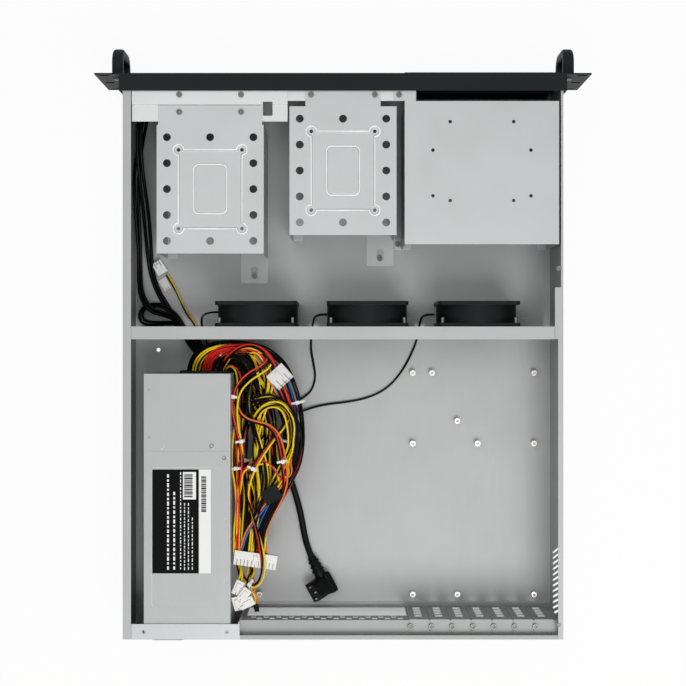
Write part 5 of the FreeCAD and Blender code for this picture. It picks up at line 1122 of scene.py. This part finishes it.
class CaseColours(bpy.types.PropertyGroup):
    """Colours of the wires."""

    yellow: bpy.props.FloatVectorProperty(
        name="Yellow", description="Yellow wire jackets", subtype="COLOR", size=4, default=linear("#ffdc10")
    )
    red: bpy.props.FloatVectorProperty(
        name="Red", description="Red wire jackets", subtype="COLOR", size=4, default=linear("#e2271c")
    )
    black: bpy.props.FloatVectorProperty(
        name="Black", description="Black wire jackets", subtype="COLOR", size=4, default=linear("#060607")
    )
    orange: bpy.props.FloatVectorProperty(
        name="Orange", description="Orange wire jackets", subtype="COLOR", size=4, default=linear("#f2792b")
    )
    blue: bpy.props.FloatVectorProperty(
        name="Blue", description="Blue wire jackets", subtype="COLOR", size=4, default=linear("#1f5cab")
    )
    green: bpy.props.FloatVectorProperty(
        name="Green", description="Green wire jackets", subtype="COLOR", size=4, default=linear("#4d9a3c")
    )


class CASE_OT_finish_solids(bpy.types.Operator):
    """Gives every solid of the case its finish."""

    bl_idname = "case.finish_solids"
    bl_label = "Finish the solids"

    def execute(self, context):
        for subpart in frame["record"]["subparts"]:
            node = subpart["node"]
            finish = OWN_FINISHES.get(node, NODE_FINISHES[subpart["material_slot"]])
            for slot in frame["nodes"][node].material_slots:
                slot.material = finishes()[finish]
        return {"FINISHED"}


class CASE_OT_open_vents(bpy.types.Operator):
    """Opens the vents of the rear wall and its slot covers."""

    bl_idname = "case.open_vents"
    bl_label = "Open the rear wall's vents"

    def execute(self, context):
        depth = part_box("slot_cover_1")[0][1] * 1000
        vents = []
        for width, low, high, first, pitch, count in WALL_VENTS:
            vents.extend((first + pitch * number, width, low, high) for number in range(count))
        open_vents("rear_panel", "rear_wall", vents, depth)
        width, tall, first, pitch, count = COVER_VENTS
        for number in range(1, COVER_COUNT + 1):
            low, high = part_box(f"slot_cover_{number}")
            across = (low[0] + high[0]) * 500
            rows = [first + pitch * row for row in range(count)]
            vents = [(across, width, row, row + tall) for row in rows]
            open_vents(f"slot_cover_{number}", f"slot_blank_{number}", vents, depth)
        return {"FINISHED"}


class CASE_OT_roll_rims(bpy.types.Operator):
    """Rolls the rims of the drive cages' pressings, bright with a painted highlight."""

    bl_idname = "case.roll_rims"
    bl_label = "Roll the cages' rims"

    def execute(self, context):
        rims = [rim(middle, *facts) for middle in PRESSINGS for facts in (LOBED_FRAME, RAISED_PANEL)]
        # The rims' near-white tone is a painted highlight
        settle(join(rims), "cage_rims", "rubbed_zinc")
        return {"FINISHED"}


class CASE_OT_build_housings(bpy.types.Operator):
    """Builds the wire connectors."""

    bl_idname = "case.build_housings"
    bl_label = "Build the wire connectors"

    def execute(self, context):
        for name, facts in HOUSINGS.items():
            piece = housing(name, *facts)
            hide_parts(*HOUSING_NODES.get(name, []))
        return {"FINISHED"}


class CASE_OT_stick_label(bpy.types.Operator):
    """Sticks plain printed film in the supply's recess."""

    bl_idname = "case.stick_label"
    bl_label = "Stick the supply's film"

    def execute(self, context):
        sheet = context.scene.case_sizes.label_thickness
        for name, finish, across, along in FILMS:
            size = ((across[1] - across[0]) / 1000, (along[1] - along[0]) / 1000, sheet)
            centre = (sum(across) / 2000, sum(along) / 2000, RECESS_FLOOR / 1000 + sheet / 2)
            film = add_block(size, centre)
            soften(film, sheet * FILM_ROUND)
            settle(film, name, finish)
        bars = []
        for step, facts in enumerate(BARS):
            low = RECESS_FLOOR / 1000 + sheet + PRINT_THICK * min(step, 1)
            bars.extend(print_bars(*facts, low, PRINT_THICK))
        settle(join(bars), "label_bars", None)
        return {"FINISHED"}


class CASE_OT_shape_plug(bpy.types.Operator):
    """Shapes the power cord's angled plug."""

    bl_idname = "case.shape_plug"
    bl_label = "Shape the plug"

    def execute(self, context):
        plug = settle(join([plug_body(), plug_sleeve()]), "power_plug", None)
        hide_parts("ac_plug")
        return {"FINISHED"}


class CASE_OT_set_fixings(bpy.types.Operator):
    """Sets the small rivets of the supply's top and the flanges, and the screws with their cross recesses."""

    bl_idname = "case.set_fixings"
    bl_label = "Set the rivets and screws"

    def execute(self, context):
        settle(join([fixing(*facts) for facts in FIXINGS]), "small_fixings", "zinc_screw")
        bars = cross_recesses(upright_heads("chassis_screws"))
        cut_copy("chassis_screws", "cross_screws", bars, "zinc_screw")
        return {"FINISHED"}


class CASE_OT_lay_harness(bpy.types.Operator):
    """Lays the power supply's wires in bundles."""

    bl_idname = "case.lay_harness"
    bl_label = "Lay the supply's wires"

    def execute(self, context):
        ties = []
        for seed, (name, (colours, points)) in enumerate(BUNDLES.items()):
            piece, path, diameter = bundle(name, points, colours.split(), WIRE_GAUGE, WIRE_SWAY, seed)
            for owner, share in TIES:
                if owner == name:
                    ties.append(cable_tie(path, share, diameter, context.scene.case_sizes))
            if name == "yellow_main":
                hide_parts("harness")
        settle(join(ties), "cable_ties", "natural_nylon")
        return {"FINISHED"}


class CASE_OT_lay_cords(bpy.types.Operator):
    """Lays the mains cord, the front cables, the fan leads and the sensor lead."""

    bl_idname = "case.lay_cords"
    bl_label = "Lay the single cords"

    def execute(self, context):
        mains = tube("ac_cord_jacket", CORD_ROUTES["ac_cord"], MAINS_DIAMETER, "black_pvc")
        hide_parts("ac_cord")
        path = route_path(CORD_ROUTES["ac_cord"])
        for seed, (name, (colours, gauge, sway)) in enumerate(THIN_LEADS.items()):
            piece, path, diameter = bundle(
                f"{name}_wires", CORD_ROUTES[name], colours.split(), gauge, sway, LEAD_SEED + seed
            )
            if name in frame["nodes"]:
                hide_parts(name)
        return {"FINISHED"}


# Floor: size and level in metres, tone, and how white it shows
FLOOR_SIZE = 14
FLOOR_LEVEL = -0.0005
FLOOR_TONE = "#f2f2f2"
FLOOR_GLOW = 0.94
# Colour of the floor's glow and of the sky
WHITE = (1, 1, 1, 1)
# Camera: place along the depth of the case and reach in metres, and width of the sensor in millimetres
CAMERA_ALONG = -0.013
CAMERA_REACH = 50.0
SENSOR_WIDTH = 36.0
# Light: strength of the sky on the object, and the lamps' places, sizes and powers
SKY_LIGHT = 0.33
LAMPS = (
    ("key", (-0.4, 0.92, 2.08), 1.0, 24),
    ("fill", (0.45, -0.6, 2.2), 1.2, 7),
)


def background_rays(tree):
    """One for a ray that shows the background: to the camera, in a reflection or through glass."""
    rays = add(tree, "ShaderNodeLightPath").outputs
    shown = rays["Is Camera Ray"]
    for kind in ("Is Glossy Ray", "Is Transmission Ray"):
        shown = add(tree, "ShaderNodeMath", {0: shown, 1: rays[kind]}, operation="MAXIMUM").outputs[0]
    return shown


class CASE_OT_set_stage(bpy.types.Operator):
    """Sets the floor, the light and the camera."""

    bl_idname = "case.set_stage"
    bl_label = "Set the stage"

    def execute(self, context):
        sizes = context.scene.case_sizes
        scene = context.scene
        scene.view_settings.view_transform = "Standard"
        deselect()
        bpy.ops.mesh.primitive_plane_add(size=FLOOR_SIZE, location=(0, 0, FLOOR_LEVEL))
        floor = context.object
        floor.name = "floor"
        made = bpy.data.materials.new("pale_floor")
        tree = fresh_tree(made)
        share = add(tree, "ShaderNodeMath", {0: background_rays(tree), 1: FLOOR_GLOW}, operation="MULTIPLY")
        matt = add(tree, "ShaderNodeBsdfDiffuse", {"Color": linear(FLOOR_TONE)})
        glow = add(tree, "ShaderNodeEmission", {"Color": WHITE, "Strength": 1.0})
        both = add(tree, "ShaderNodeMixShader", {0: share.outputs[0], 1: matt.outputs[0], 2: glow.outputs[0]})
        add(tree, "ShaderNodeOutputMaterial", {"Surface": both.outputs[0]})
        floor.data.materials.append(made)

        world = bpy.data.worlds.new("studio")
        scene.world = world
        tree = fresh_tree(world)
        shown = background_rays(tree)
        strength = add(tree, "ShaderNodeMapRange", {"Value": shown, "To Min": SKY_LIGHT, "To Max": 1.0})
        sky = add(tree, "ShaderNodeBackground", {"Color": WHITE, "Strength": strength.outputs["Result"]})
        add(tree, "ShaderNodeOutputWorld", {"Surface": sky.outputs[0]})

        for name, place, size, power in LAMPS:
            lamp = bpy.data.lights.new(name, "AREA")
            lamp.shape = "SQUARE"
            lamp.size = size
            lamp.energy = power
            holder = bpy.data.objects.new(name, lamp)
            holder.location = place
            holder.rotation_euler = (-Vector(place)).to_track_quat("-Z", "Y").to_euler()
            scene.collection.objects.link(holder)

        camera = bpy.data.cameras.new("camera")
        camera.sensor_width = SENSOR_WIDTH
        camera.lens = sizes.camera_lens
        camera.clip_end = CAMERA_REACH
        eye = bpy.data.objects.new("camera", camera)
        eye.location = (0, CAMERA_ALONG, sizes.camera_height)
        eye.rotation_euler = (0, 0, math.pi)
        scene.collection.objects.link(eye)
        scene.camera = eye
        return {"FINISHED"}


class CASE_PT_server_case(bpy.types.Panel):
    """Shows the steps, sizes and colours of the case in the sidebar."""

    bl_idname = "CASE_PT_server_case"
    bl_label = "Server Case"
    bl_space_type = "VIEW_3D"
    bl_region_type = "UI"
    bl_category = "Server Case"

    def draw(self, context):
        for operator in STEPS:
            self.layout.operator(operator.bl_idname)
        for group in (context.scene.case_sizes, context.scene.case_colours):
            for name in group.__annotations__:
                self.layout.prop(group, name)


STEPS = (
    CASE_OT_finish_solids,
    CASE_OT_open_vents,
    CASE_OT_roll_rims,
    CASE_OT_build_housings,
    CASE_OT_stick_label,
    CASE_OT_shape_plug,
    CASE_OT_set_fixings,
    CASE_OT_lay_harness,
    CASE_OT_lay_cords,
    CASE_OT_set_stage,
)
CLASSES = (CaseSizes, CaseColours, *STEPS, CASE_PT_server_case)


def register():
    for item in CLASSES:
        bpy.utils.register_class(item)
    bpy.types.Scene.case_sizes = bpy.props.PointerProperty(type=CaseSizes)
    bpy.types.Scene.case_colours = bpy.props.PointerProperty(type=CaseColours)


def unregister():
    del bpy.types.Scene.case_colours
    del bpy.types.Scene.case_sizes
    for item in reversed(CLASSES):
        bpy.utils.unregister_class(item)


def main():
    register()
    for step in STEPS:
        family, name = step.bl_idname.split(".")
        getattr(getattr(bpy.ops, family), name)()


if __name__ == "__main__":
    main()
